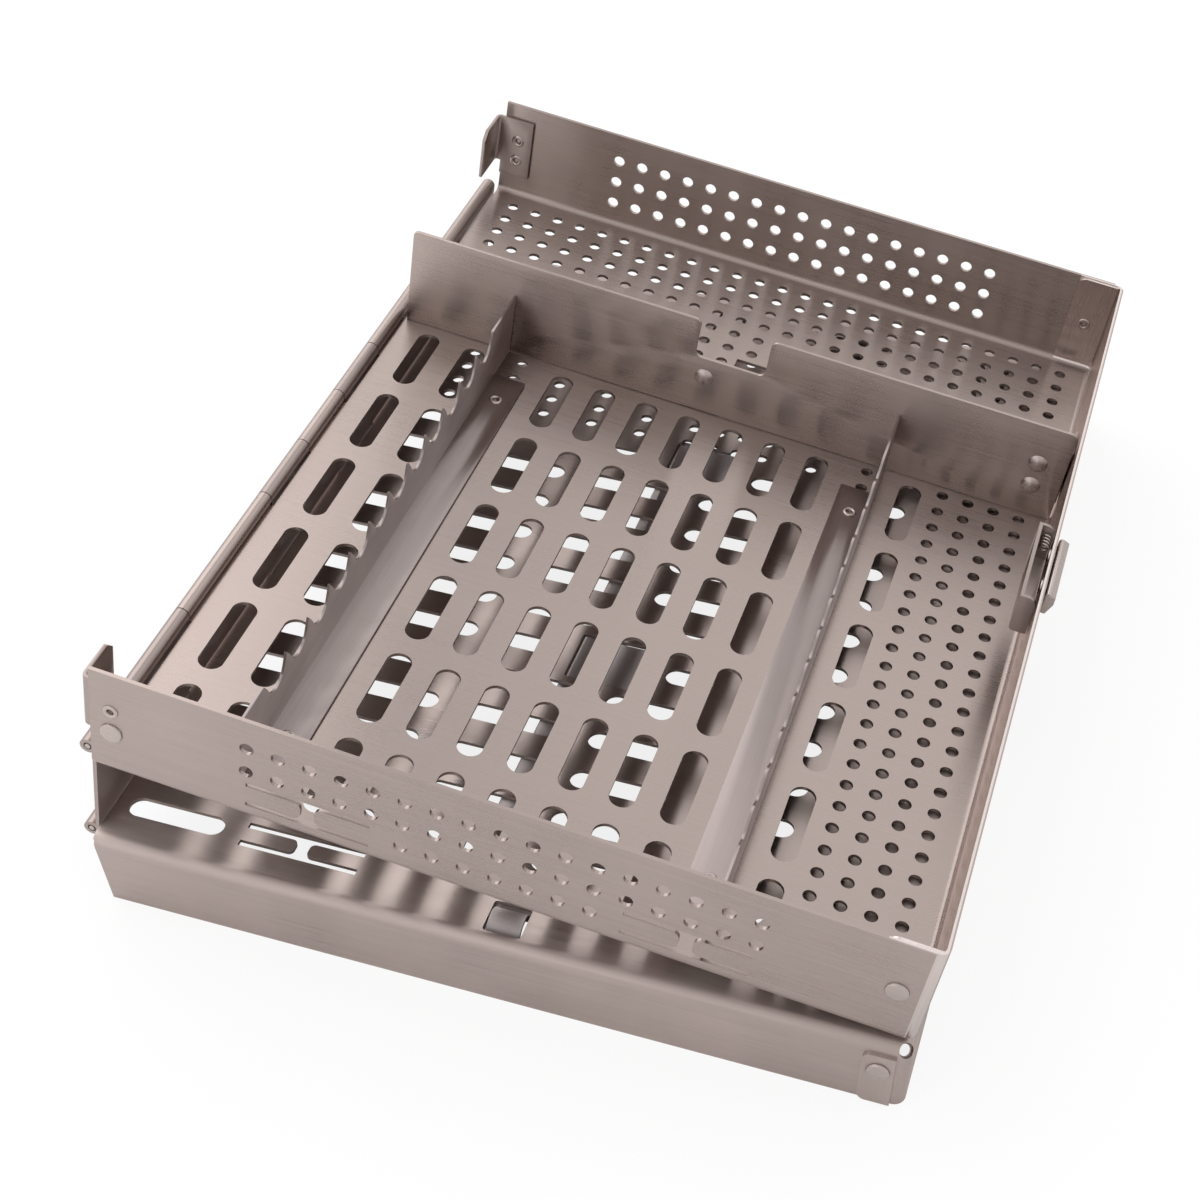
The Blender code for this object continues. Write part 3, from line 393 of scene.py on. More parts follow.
def fieldOfHoles(field):
    columns, rows = field["count"]
    pitchA, pitchB = field["pitch"]
    length, width = field["hole"]
    made = runTree(punches, {
        "Columns": columns, "Rows": rows, "Column Pitch": float(pitchA), "Row Pitch": float(pitchB),
        "Radius": width / 2, "Half Run": (length - width) / 2, "Depth": sheet["punchDepth"],
        "Sides": sheet["slotSides"] if length > width else sheet["holeSides"],
        "Turn": math.pi / 2 if field.get("turned") else 0.0, "Metal": finishes["tray"]})
    a, b = field["start"]
    made.transform(Matrix.Translation((a + (columns - 1) * pitchA / 2, b + (rows - 1) * pitchB / 2, 0)))
    return made


def punchHoles(target, fields, place):
    bm = bmesh.new()
    for field in fields:
        made = fieldOfHoles(field)
        made.transform(place)
        bm.from_mesh(made)
    combine(target, linkMesh("cutters", bm), "DIFFERENCE")


# H-shaped cut that leaves two spring tongues end to end
def tongueCut(a, b, width):
    pitch, gap = tray["pitch"], tray["hole"][0] / 2
    a0, a1, b0, b1 = a - 2 * pitch, a + 2 * pitch, b - pitch / 2, b + pitch / 2
    gap0, gap1 = a - gap, a + gap
    nose = (b1 - b0 - 2 * width) / 3
    low, high = b0 + width, b1 - width
    outline = [(a0, b0), (a1, b0), (a1, low), (gap1, low), (gap1, high), (a1, high), (a1, b1), (a0, b1),
               (a0, high), (gap0, high), (gap0, low), (a0, low)]
    return roundCorners(outline, [0, 0, 0, nose, nose, 0, 0, 0, 0, nose, nose, 0])


# Folded sheets: the tray and the lid

hinge = {
    "tube": 2.1, "pin": 0.8, "length": 275.5, "span": 30.2, "knuckles": (2, 2, 1, 1, 1, 2, 2),
    "sides": 28, "pinSides": 24, "pinSoften": 0.25, "plateGap": 1.1,
}
leafGap = hinge["tube"] + 2 * fit


def roundedBlock(name, low, high, radius, foldSide, endX):
    bm = bmesh.new()
    addPrism(bm, rectangle(low[0], high[0], low[1], high[1]), "Z", low[2], high[2])
    folds = []
    for edge in bm.edges:
        a, b = edge.verts
        inPlate = all(abs(v.co.z - foldSide) < fit for v in (a, b))
        atEnd = all(abs(v.co.x - endX) < fit for v in (a, b))
        atHinge = all(abs(v.co.x - low[0]) < fit for v in (a, b))
        upright = abs(a.co.z - b.co.z) > fit
        if (inPlate and not atHinge) or (upright and atEnd):
            folds.append(edge)
    bmesh.ops.bevel(bm, geom=folds, offset=radius, segments=sheet["bendSteps"], profile=0.5, affect="EDGES")
    piece = linkMesh(name, bm)
    asTriangles(piece)
    return piece


# A folded sheet is a block with rounded folds that a smaller one hollows out
def foldedSheet(name, reach, halfWidth, plate, rim):
    up = 1 if rim > plate else -1
    inside, beyond = plate + up * thick, rim + up * bend
    piece = roundedBlock(name, (leafGap, -halfWidth, min(plate, rim)), (reach, halfWidth, max(plate, rim)),
                         bend, plate, reach)
    hollow = roundedBlock("hollow", (leafGap - bend, thick - halfWidth, min(inside, beyond)),
                          (reach - thick, halfWidth - thick, max(inside, beyond)),
                          bend - thick, inside, reach - thick)
    combine(piece, hollow, "DIFFERENCE")
    return piece


# The knuckles belong in turn to the spine plate (owner 0) and to the sheet (owner 1)
def addKnuckles(piece, owner, strip, z):
    unit = hinge["length"] / sum(hinge["knuckles"])
    y = -hinge["length"] / 2
    for i, share in enumerate(hinge["knuckles"]):
        low, high = y + fit / 2, y + share * unit - fit / 2
        y += share * unit
        if i % 2 != owner:
            continue
        tube = prisms("tube", [ring(0, z, hinge["tube"], hinge["sides"])], "Y", low, high)
        asTriangles(tube)
        combine(tube, prisms("lead", [[(x, z + h) for x, h in strip]], "Y", low, high), "UNION")
        combine(piece, tube, "UNION")
    hole = ring(0, z, hinge["pin"] + fit, sheet["boreSides"])
    combine(piece, prisms("bore", [hole], "Y", -hinge["length"], hinge["length"]), "DIFFERENCE")


tray = {
    "reach": 207.0, "width": 281.3, "under": -2.6, "wallHeight": 32.2,
    "tab": 13.2, "tabInset": 1.5, "tabRound": 3,
    "pitch": 7.75, "hole": (3.5, 3.5), "slot": (26.0, 6.7),
    "latticeStart": (10.9, -131.75), "window": (12, 27),   # lattice place of the square window
    "fields": ((21, 0, 4, 25), (0, 26, 12, 9), (14, 26, 11, 9),   # column, row, columns and rows of each
               (12, 26, 2, 1), (12, 29, 2, 6), (4, 23, 1, 2), (18, 23, 1, 2)),
    "slotRows": 6, "slotRowPitch": 32.3, "slotStartY": -120.3,
    "slotColumns": ((12.9, 1), (27.35, 1), (55.7, 7), (164.4, 1)), "slotColumnPitch": 13.35,
    "wallStartX": 41.9, "wallRows": (7.6, 15.4, 23.1), "tongues": (2, 14), "cut": 1.15,
    "frontRows": ((1, 0, 17), (2, 0, 17), (0, 5, 7)),   # row, first column and columns of each
    "rearRows": ((0, 0, 17), (1, 0, 17), (2, 0, 17)),
    "rivetHole": (3.0, 3.0),
    "step": (0.6, 2.9, 2.4), "stepSides": 6,   # depth, width and radius of the fold past the front wall's end
}
trayFloor = tray["under"] + thick
wallTop = trayFloor + tray["wallHeight"]
trayHalf = tray["width"] / 2

bracket = {
    "leg": 12.5, "end": 14.0, "low": 7.0, "high": 27.5, "endLow": 11.6, "foldRound": 0.7,
    "rivetX": 8.0, "rivets": (13.0, 20.2),
}
rack = {
    "thick": 0.7, "leftX": 35.7, "rightX": 155.1, "foot": 10.5, "inset": 13.5, "rivetInset": 25.2,
    "pitch": 13.1, "low": 12.7, "tip": 20.5, "waveLow": 16.6, "waveSteps": 12, "hookSteps": 4,
    "hook": ((0, 1), (0.12, 0.25), (0.38, 0), (0.66, 0.2), (0.82, 0.6), (1, 1)),   # of pitch and height
}
divider = {
    "y": 58.1, "height": 31.8, "end": 205.3, "corners": (1.5, 2.0),
    "notch": (92.3, 113.7), "notchDepth": 12.8, "notchRound": 2,
    "footRivet": (3.9, 12.4),   # past the notch's left edge, and over the floor
    "angleRivet": 10.1, "angleRivets": (10.5, 18.6),   # from the latch side, and over the floor
    "angle": (14, 12), "angleSpan": (5, 24), "foot": (6, 18), "footHalf": 6, "foldRound": 0.6,
}
latch = {
    "y": 6.5, "drop": 3.5, "travel": 3.5, "track": 3.0, "catch": 2.9,
    "length": 32.0, "depth": 11.3, "room": 4.0, "pocketDrop": 0.4, "pocketRounds": (1.2, 0, 2.5, 0),
    "slide": 23.7, "lip": 2.9, "fall": 1.35, "height": 7.4, "slideRounds": (0.2, 0.2, 0.4, 0.3, 0.3, 1.0),
}
rackRivetsY = (divider["y"] - rack["rivetInset"], thick - trayHalf + rack["rivetInset"])
rackRivetsX = (rack["leftX"] + rack["foot"] / 2, rack["rightX"] - rack["foot"] / 2)
tabMiddle = tray["reach"] - tray["tab"] / 2 - tray["tabInset"]


def roundHoles(start, column, row, columns, rows):
    x, y = start
    pitch = tray["pitch"]
    return {"start": (x + column * pitch, y + row * pitch), "count": (columns, rows),
            "pitch": (pitch, pitch), "hole": tray["hole"]}


def onWall(y):
    return Matrix.Translation((0, y, 0)) @ Matrix.Rotation(math.pi / 2, 4, "X")


def wallField(row, first, columns):
    return {"start": (tray["wallStartX"] + first * tray["pitch"], trayFloor + tray["wallRows"][row]),
            "count": (columns, 1), "pitch": (tray["pitch"], 1), "hole": tray["hole"]}


def oneHole(a, b, hole):
    return {"start": (a, b), "count": (1, 1), "pitch": (1, 1), "hole": hole}


def cornerStep(side):
    deep, wide, radius = tray["step"]
    edge, reach = trayHalf - deep, tray["reach"]
    turns = [math.pi / 2 * i / tray["stepSides"] for i in range(tray["stepSides"] + 1)]
    fold = [(reach - radius + radius * math.cos(t), edge - radius + radius * math.sin(t)) for t in turns]
    outline = [(reach + bend, edge - radius), *fold,
               (reach - wide, edge), (reach - wide, edge + bend), (reach + bend, edge + bend)]
    return [(x, side * y) for x, y in outline]


def makeTray():
    piece = foldedSheet("tray_sheet", tray["reach"], trayHalf, tray["under"], wallTop)
    for side in (-1, 1):
        y = sorted((side * (trayHalf - 2 * thick), side * (trayHalf - thick / 2)))
        x0 = tray["reach"] - thick - tray["tab"]
        tab = rectangle(x0, tray["reach"] - 1.5 * thick, trayFloor + bend, wallTop - fit)
        tab = roundCorners(tab, [tray["tabRound"], 0, 0, tray["tabRound"]])
        combine(piece, prisms("tab", [tab], "Y", *y), "UNION")
    low, high = sheet["lap"] + tray["under"], trayFloor - sheet["lap"]
    strip = [(0, -hinge["tube"]), (leafGap - fit, low), (leafGap + bend, low), (leafGap + bend, high),
             (hinge["tube"] / 2, high)]
    addKnuckles(piece, 1, strip, 0)

    slots = [{"start": (x, tray["slotStartY"]), "count": (columns, tray["slotRows"]),
              "pitch": (tray["slotColumnPitch"], tray["slotRowPitch"]), "hole": tray["slot"], "turned": True}
             for x, columns in tray["slotColumns"]]
    fields = [roundHoles(tray["latticeStart"], *field) for field in tray["fields"]]
    fields += [oneHole(x, y, tray["rivetHole"]) for x in rackRivetsX for y in rackRivetsY]
    punchHoles(piece, slots + fields, Matrix.Translation((0, 0, trayFloor)))
    edge = tray["pitch"] / 2 - tray["hole"][0] / 8
    x0, y0 = roundHoles(tray["latticeStart"], *tray["window"], 1, 1)["start"]
    window = rectangle(x0 - edge, x0 + tray["pitch"] + edge, y0 - edge, y0 + tray["pitch"] + edge)
    combine(piece, prisms("window", [window], "Z", tray["under"] - bend, trayFloor + bend), "DIFFERENCE")

    rivetHoles = [oneHole(bracket["rivetX"], trayFloor + z, tray["rivetHole"]) for z in bracket["rivets"]]
    rivetHoles.append(oneHole(tabMiddle, trayFloor + tray["wallHeight"] / 2, tray["rivetHole"]))
    for rows, y in ((tray["frontRows"], -trayHalf), (tray["rearRows"], trayHalf)):
        punchHoles(piece, [wallField(*row) for row in rows] + rivetHoles, onWall(y))
    tongues = [tongueCut(*wallField(0, column, 1)["start"], tray["cut"]) for column in tray["tongues"]]
    combine(piece, prisms("tongues", tongues, "Y", -trayHalf - bend, bend - trayHalf), "DIFFERENCE")

    track = {"start": (-latch["y"] + latch["travel"] / 2, wallTop - latch["drop"]), "count": (2, 1),
             "pitch": (2 * latch["y"], 1), "hole": (latch["travel"] + latch["track"], latch["track"])}
    sideways = Matrix(((0, 0, 1, 0), (1, 0, 0, 0), (0, 1, 0, 0), (0, 0, 0, 1)))
    punchHoles(piece, [track], Matrix.Translation((tray["reach"], 0, 0)) @ sideways)
    for side in (-1, 1):
        step = prisms("step", [cornerStep(side)], "Z", tray["under"] - bend, wallTop + bend)
        combine(piece, step, "DIFFERENCE")
    smoothRounds(piece)
    settle(piece, trayFrame, "tray", "tray", ["base_tray"])


makeTray()

lid = {
    "reach": 209.0, "width": 285.2, "rise": 2.1, "depth": 20.5, "relief": 1.9, "latchGap": 36.0, "slant": 3.5,
    "tab": 11.2, "tabInset": 1.5, "tabRound": 2, "rivetZ": 11.9,
    "slot": (25.4, 6.2), "slotStart": (19.2, 48.4), "slotPitch": (33.6, 14.79),
    "slotFields": ((0, 0, 2, 12), (2, 1, 2, 5), (2, 7, 2, 5), (4, 0, 1, 12), (0, 12, 1, 1)),
    "shortSlot": 13.2, "shortGap": 6.6, "shortRows": (0, 6),   # short slots left and right of a window
    "windowX": (93.5, 112.9), "windowsY": ((-49.6, -31.8), (45.0, 59.7)), "windowRound": 0.8, "cut": 1.8,
    "roundStart": (10.85, 60.3), "roundFields": ((0, 1, 25, 9), (0, 0, 18, 1)), "tongue": (1, 12),
    "arch": (104.0, 112.5), "archY": -134.4, "archR": 4.2,
}
lidInside = lid["rise"] - thick
flangeEnd = lid["rise"] - lid["depth"]
lidHalf = lid["width"] / 2
lidTabMiddle = lid["reach"] - lid["tab"] / 2 - lid["tabInset"]
bar = {
    "x": (92.7, 105.5), "y": (-138.6, 62.0), "rivets": (-92.0, 11.5), "rivetInset": 1.5,
    "archRise": 1.0, "archSteps": 24, "arm": 6, "padRound": 0.5,
}
barRivetX = bar["x"][1] - bar["rivetInset"] - thick


def lidSlots(column, firstRow, columns, rows):
    x, y = lid["slotStart"]
    pitchX, pitchY = lid["slotPitch"]
    lastRow = firstRow + rows - 1
    return {"start": (x + column * pitchX, y - lastRow * pitchY), "count": (columns, rows),
            "pitch": (pitchX, pitchY), "hole": lid["slot"]}


def makeLid():
    piece = foldedSheet("lid_sheet", lid["reach"], lidHalf, lid["rise"], flangeEnd)
    for side in (-1, 1):
        y = sorted((side * (lidHalf - thick / 2), side * (lidHalf + thick)))
        start, end = lid["reach"] - lid["tab"], lid["reach"] - bend - fit
        tab = rectangle(start, end, flangeEnd + fit, lid["rise"] - bend)
        tab = roundCorners(tab, [lid["tabRound"], 0, 0, lid["tabRound"]])
        combine(piece, prisms("tab", [tab], "Y", *y), "UNION")
        slant = [(0, lidInside), (leafGap + fit, lidInside), (leafGap + lid["slant"], flangeEnd - bend),
                 (0, flangeEnd - bend)]
        y = sorted((side * (lidHalf - 2 * thick), side * (lidHalf + thick)))
        combine(piece, prisms("slant", [slant], "Y", *y), "DIFFERENCE")
    strip = rectangle(0, leafGap + bend, lidInside + sheet["lap"], lid["rise"] - sheet["lap"])
    addKnuckles(piece, 1, strip, 0)

    slots = [lidSlots(*field) for field in lid["slotFields"]]
    rounds = [roundHoles(lid["roundStart"], *field) for field in lid["roundFields"]]
    across = (lid["windowX"][0] + lid["windowX"][1]) / 2
    for row in lid["shortRows"]:
        short = lidSlots(0, row, 1, 1)
        apart = lid["shortGap"] + (lid["windowX"][1] - lid["windowX"][0] + lid["shortSlot"]) / 2
        short.update(start=(across - apart, short["start"][1]), count=(2, 1), pitch=(2 * apart, 1),
                     hole=(lid["shortSlot"], lid["slot"][1]))
        slots.append(short)
    rivetHoles = [oneHole(barRivetX, y, tray["rivetHole"]) for y in bar["rivets"]]
    punchHoles(piece, slots + rounds + rivetHoles, Matrix.Translation((0, 0, lid["rise"])))
    openings = [rectangle(*lid["windowX"], *span) for span in lid["windowsY"]]
    openings.append(rectangle(lid["arch"][0] - 2 * fit, lid["arch"][1] + 2 * fit,
                              lid["archY"] - lid["archR"] - 2 * fit, lid["archY"] + lid["archR"] + 2 * fit))
    openings = [roundCorners(opening, lid["windowRound"], 3) for opening in openings]
    openings.append(tongueCut(*lidSlots(*lid["tongue"], 1, 1)["start"], lid["cut"]))
    combine(piece, prisms("openings", openings, "Z", lidInside - bend, lid["rise"] + bend), "DIFFERENCE")

    corner = [oneHole(lidTabMiddle, flangeEnd + lid["rivetZ"], tray["rivetHole"])]
    for side in (-1, 1):
        punchHoles(piece, corner, onWall(side * lidHalf))
        bm = bmesh.new()
        inset = bend / 2
        centre = Matrix.Translation((lid["reach"] - inset, side * (lidHalf - inset), lid["rise"] - inset))
        bmesh.ops.create_icosphere(bm, subdivisions=3, radius=lid["relief"], matrix=centre)
        combine(piece, linkMesh("relief", bm), "DIFFERENCE")
    gap = rectangle(-lid["latchGap"] / 2, lid["latchGap"] / 2, flangeEnd - bend, lid["rise"] + bend)
    combine(piece, prisms("gap", [gap], "X", lid["reach"] - bend, lid["reach"] + bend), "DIFFERENCE")
    catchX = tray["reach"] - thick - latch["room"] + fit
    combine(piece, prisms("catch", [catchOutline()], "X", catchX, catchX + thick), "UNION")
    smoothRounds(piece)
    settle(piece, lidFrame, "lid", "lid", ["lid_tray"])


def catchOutline():
    stem = latch["y"] - latch["catch"]
    footTop = wallTop - latch["drop"] - latch["catch"] - 2 * fit - hinge["span"]
    footEnd = -latch["y"] - latch["catch"] / 2
    footLow = footTop - 2 * thick
    top = lidInside + thick / 2
    return [(-stem, top), (-stem, footTop), (footEnd, footTop), (footEnd, footLow),
            (stem - thick, footLow), (stem, footTop), (stem, top)]


makeLid()


# Hinge: the spine plate and the two pins

def makeSpine():
    tube, span, half = hinge["tube"], hinge["span"], hinge["length"] / 2
    edge = tube + hinge["plateGap"]
    face = (tube - thick, tube)
    piece = prisms("spine", [rectangle(*face, edge - span, -edge)], "Y", fit / 2 - half, half - fit / 2)
    asTriangles(piece)
    within = (face[0] + sheet["lap"], face[1] - sheet["lap"])
    addKnuckles(piece, 0, rectangle(*within, -edge - thick, 0), 0)
    addKnuckles(piece, 0, rectangle(*within, 0, edge + thick), -span)
    smoothRounds(piece)
    settle(piece, trayFrame, "spine", "fittings", ["spine_plate"])


def makePin(name, place, body, node):
    half = hinge["length"] / 2
    piece = prisms(name, [ring(0, 0, hinge["pin"], hinge["pinSides"])], "Y", -half, half)
    softenEdges(piece, hinge["pinSoften"], 60)
    smoothRounds(piece)
    settle(piece, place, body, "pins", [node])


makeSpine()
makePin("base_pin", trayFrame, "spine", "base_hinge_pin")
makePin("lid_pin", lidFrame, "lid", "lid_hinge_pin")


# Fittings in the tray

dividerRivets = [(divider["notch"][0] + divider["footRivet"][0], trayFloor + divider["footRivet"][1])]
dividerRivets += [(tray["reach"] - divider["angleRivet"], trayFloor + z) for z in divider["angleRivets"]]


def bore(target, holes, axis, low, high):
    rings = [ring(a, b, tray["rivetHole"][0] / 2, sheet["boreSides"]) for a, b in holes]
    combine(target, prisms("bores", rings, axis, *sorted((low, high))), "DIFFERENCE")


def makeDivider():
    low, top = trayFloor + fit, trayFloor + divider["height"]
    start, end = leafGap + fit, divider["end"]
    notch = top - divider["notchDepth"]
    n0, n1 = divider["notch"]
    outline = [(start, low), (end, low), (end, top), (n1, top), (n1, notch), (n0, notch), (n0, top),
               (start, top)]
    left, right = divider["corners"]
    outline = roundCorners(outline, [0, 0, right] + [divider["notchRound"]] * 4 + [left])
    piece = formedPiece("divider_plate", outline, "Y", divider["y"], divider["y"] + thick, 40)
    bore(piece, dividerRivets, "Y", divider["y"] - bend, divider["y"] + bend)
    smoothRounds(piece)
    settle(piece, trayFrame, "tray", "divider", ["divider"])


def angleOutline(a, b, legA, legB, foldRound):
    alongA, alongB = a + math.copysign(thick, legA), b + math.copysign(thick, legB)
    outline = [(a, b), (a + legA, b), (a + legA, alongB), (alongA, alongB), (alongA, b + legB), (a, b + legB)]
    return roundCorners(outline, [sheet["foldRound"], 0, 0, foldRound, 0, 0])


def makeDividerAngles():
    y, low = divider["y"] + thick + fit, trayFloor + fit
    legX, legY = divider["angle"]
    outline = angleOutline(tray["reach"] - thick - fit, y, -legX, legY, divider["foldRound"])
    side = formedPiece("divider_angle_plate", outline, "Z", *(trayFloor + z for z in divider["angleSpan"]))
    bore(side, dividerRivets[1:], "Y", y - bend, y + bend)
    smoothRounds(side)
    settle(side, trayFrame, "tray", "fittings", ["divider_angle"])
    x = dividerRivets[0][0]
    outline = angleOutline(y, low, *divider["foot"], divider["foldRound"])
    foot = formedPiece("divider_foot_plate", outline, "X", x - divider["footHalf"], x + divider["footHalf"])
    bore(foot, dividerRivets[:1], "Y", y - bend, y + bend)
    smoothRounds(foot)
    settle(foot, trayFrame, "tray", "fittings", ["divider_foot"])


# Points of a smooth curve through the knots
def through(knots, steps):
    points = []
    for i in range(len(knots) - 1):
        p0 = Vector(knots[max(i - 1, 0)])
        p1, p2 = Vector(knots[i]), Vector(knots[i + 1])
        p3 = Vector(knots[min(i + 2, len(knots) - 1)])
        for step in range(steps):
            t = step / steps
            points.append(0.5 * (2 * p1 + (p2 - p0) * t + (2 * p0 - 5 * p1 + 4 * p2 - p3) * t * t
                                 + (3 * p1 - p0 - 3 * p2 + p3) * t ** 3))
    points.append(Vector(knots[-1]))
    return [tuple(p) for p in points]


def rackEdge(length, low, tip, hooked):
    pitch = rack["pitch"]
    count = int((length - 2 * rack["inset"]) // pitch)
    start = (length - count * pitch) / 2
    tall = tip - low
    edge = [(0, tip)]
    for i in range(count):
        at = start + i * pitch
        if hooked:
            knots = [(at + along * pitch, low + up * tall) for along, up in rack["hook"]]
            edge += through(knots, rack["hookSteps"])[:-1]
        else:
            shares = [step / rack["waveSteps"] for step in range(rack["waveSteps"])]
            edge += [(at + pitch * s, low + tall * (0.5 + 0.5 * math.cos(math.tau * s))) for s in shares]
    return edge + [(length - start, tip), (length, tip)]


def makeRack(name, node, face, side, low, hooked):
    rear, front = divider["y"] - fit, 2 * thick + fit - trayHalf
    base = trayFloor + fit
    back, footEnd = face + side * rack["thick"], face + side * rack["foot"]
    top = [(rear - d, trayFloor + h) for d, h in reversed(rackEdge(rear - front, low, rack["tip"], hooked))]
    outline = [(front, base), *top, (rear, base)]
    piece = formedPiece(name, outline, "X", *sorted((face, back)), width=soften / 2)
    sole = rectangle((face + back) / 2, footEnd, base, base + rack["thick"])
    plate = prisms("sole", [sole], "Y", front + rack["inset"], rear - rack["inset"])
    softenEdges(plate, soften)
    combine(piece, plate, "UNION")
    bore(piece, [((face + footEnd) / 2, y) for y in rackRivetsY], "Z", base - bend, base + bend)
    smoothRounds(piece)
    settle(piece, trayFrame, "tray", "racks", [node])


def makeBracket(name, node, side):
    outer = trayHalf - thick - fit
    inner = outer - bracket["end"]
    outline = angleOutline(0, outer, bracket["leg"], -bracket["end"], bracket["foldRound"])
    low, high = trayFloor + bracket["low"], trayFloor + bracket["high"]
    piece = formedPiece(name, [(x, side * y) for x, y in outline], "Z", low, high)
    under = rectangle(-bend, leafGap, trayFloor, trayFloor + bracket["endLow"])
    across = sorted((side * (inner - bend), side * (outer + bend)))
    combine(piece, prisms("under", [under], "Y", *across), "DIFFERENCE")
    corner = [(inner - fit, high - bend), (inner - fit, high + fit), (inner + bend, high + fit)]
    corner = prisms("corner", [[(side * y, z) for y, z in corner]], "X", -bend, thick + fit)
    combine(piece, corner, "DIFFERENCE")
    holes = [(bracket["rivetX"], trayFloor + z) for z in bracket["rivets"]]
    bore(piece, holes, "Y", side * (outer - bend), side * (outer + bend))
    smoothRounds(piece)
    settle(piece, trayFrame, "tray", "fittings", [node])


makeDivider()
makeDividerAngles()
makeRack("hooked_rack", "rack_left", rack["leftX"], 1, rack["low"], True)
makeRack("waved_rack", "rack_right", rack["rightX"], -1, rack["waveLow"], False)
makeBracket("front_bracket", "corner_bracket_front", -1)
makeBracket("rear_bracket", "corner_bracket_rear", 1)


# Latch: pocket, thumb slide, spring

def makePocket():
    x0, x1 = tray["reach"] - 2 * thick - latch["room"], tray["reach"] - thick - fit
    top = wallTop - latch["pocketDrop"]
    base = top - latch["depth"] - thick
    half = latch["length"] / 2
    section = roundCorners(rectangle(x0, x1, base, top), latch["pocketRounds"])
    piece = formedPiece("latch_pocket", section, "Y", -half, half)
    room = rectangle(x0 + thick, x1 + bend, base + thick, top + bend)
    combine(piece, prisms("room", [room], "Y", thick - half, half - thick), "DIFFERENCE")
    smoothRounds(piece)
    settle(piece, trayFrame, "tray", "fittings", ["latch_housing"])


def makeSlide():
    x0, half = tray["reach"] + fit, latch["slide"] / 2
    top, low = wallTop, wallTop - latch["height"]
    lipX, lipZ = x0 + latch["lip"], wallTop - latch["fall"]
    section = [(x0, low), (x0 + thick, low), (x0 + thick, top - thick - fit), (lipX, lipZ - thick),
               (lipX, lipZ), (x0, top)]
    section = roundCorners(section, latch["slideRounds"], 4)
    piece = formedPiece("thumb_slide", section, "Y", -half, half)
    cheek = [(x0 + thick / 2, low), (x0 + 1.5 * thick, low), (lipX, low + latch["height"] / 2),
             (lipX, lipZ - thick / 2), (x0 + thick / 2, top - thick)]
    combine(piece, prisms("cheek", [cheek], "Y", -half, thick - half), "UNION")
    studs = [(y, wallTop - latch["drop"]) for y in (-latch["y"], latch["y"])]
    bore(piece, studs, "X", x0 - fit, x0 + thick + 2 * fit)
    smoothRounds(piece)
    settle(piece, trayFrame, "slide", "pins", ["latch_slide"])


spring = {"radius": 1.3, "wire": 0.25, "turns": 4, "steps": 20, "studRoom": 2.0}


def makeSpring():
    low, high = latch["y"] + spring["studRoom"] + fit, latch["length"] / 2 - thick - fit
    x, z = tray["reach"] - thick - latch["room"] / 2, wallTop - latch["drop"]
    run = high - low - 2 * spring["wire"]
    total = spring["turns"] * spring["steps"]
    curve = bpy.data.curves.new("return_spring", "CURVE")
    curve.dimensions = "3D"
    curve.bevel_depth = spring["wire"]
    curve.bevel_resolution = 3
    curve.use_fill_caps = True
    wire = curve.splines.new("POLY")
    wire.points.add(total)
    for i in range(total + 1):
        turn = math.tau * i / spring["steps"]
        wire.points[i].co = (x + spring["radius"] * math.cos(turn), low + spring["wire"] + run * i / total,
                             z + spring["radius"] * math.sin(turn), 1)
    coil = linkObject("coil", curve)
    piece = linkObject("return_spring", evaluatedMesh(coil))
    bpy.data.objects.remove(coil)
    piece.data.shade_smooth()
    ends = ((x, low, z), (x, high, z))   # pressed together between the stud and the pocket's end
    settle(piece, trayFrame, ("slide", "tray"), "pins", ["latch_spring"], ends)


makePocket()
makeSlide()
makeSpring()


# Hold-down bar inside the lid

def makeBar():
    top = lidInside - fit
    low = top - thick
    piece = formedPiece("hold_down_strip", rectangle(*bar["x"], *bar["y"]), "Z", low, top, 40)
    for y0, y1 in lid["windowsY"]:
        pad = rectangle(lid["windowX"][0] + 2 * fit, lid["windowX"][1] - 2 * fit, y0 + 2 * fit, y1 - 2 * fit)
        pad = roundCorners(pad, bar["padRound"], 3)
        solid = prisms("pad", [pad], "Z", top - thick / 2, lid["rise"] - thick / 2)
        softenEdges(solid, soften, 60)
        combine(piece, solid, "UNION")
    centreZ = lid["rise"] + bar["archRise"] - lid["archR"]
    turns = [math.pi * i / bar["archSteps"] for i in range(bar["archSteps"] + 1)]
    outer, inner = lid["archR"], lid["archR"] - thick
    arch = [(lid["archY"] + outer * math.cos(t), centreZ + outer * math.sin(t)) for t in turns]
    arch += [(lid["archY"] + inner * math.cos(t), centreZ + inner * math.sin(t)) for t in reversed(turns)]
    combine(piece, prisms("arch", [arch], "X", *lid["arch"]), "UNION")
    archEnd = lid["archY"] + outer
    arm = rectangle(bar["x"][1] - thick, lid["arch"][1], archEnd - thick, archEnd + bar["arm"])
    combine(piece, prisms("arm", [arm], "Z", low, top - fit / 2), "UNION")
    bore(piece, [(barRivetX, y) for y in bar["rivets"]], "Z", low - fit, top + fit)
    smoothRounds(piece)
    settle(piece, lidFrame, "lid", "bar", ["hold_down_bar"])


makeBar()


# Rivets: a turned shape for each kind, set on points that face the way a rivet is driven

rivet = {
    "shank": 1.2, "wide": 2.9, "small": 2.0, "head": 0.55, "edge": 0.45, "ballRise": 1.2,
    "tube": 0.85, "tubeDepth": 0.8, "lip": 0.4, "lift": 0.05,
    "crown": ((0, 1.12), (0.6, 1.08)),   # shares of the flat head's radius and height
    "sides": 32, "edgeSteps": 4, "lipSteps": 8, "ballSteps": 6, "sharpAngle": 40,
}


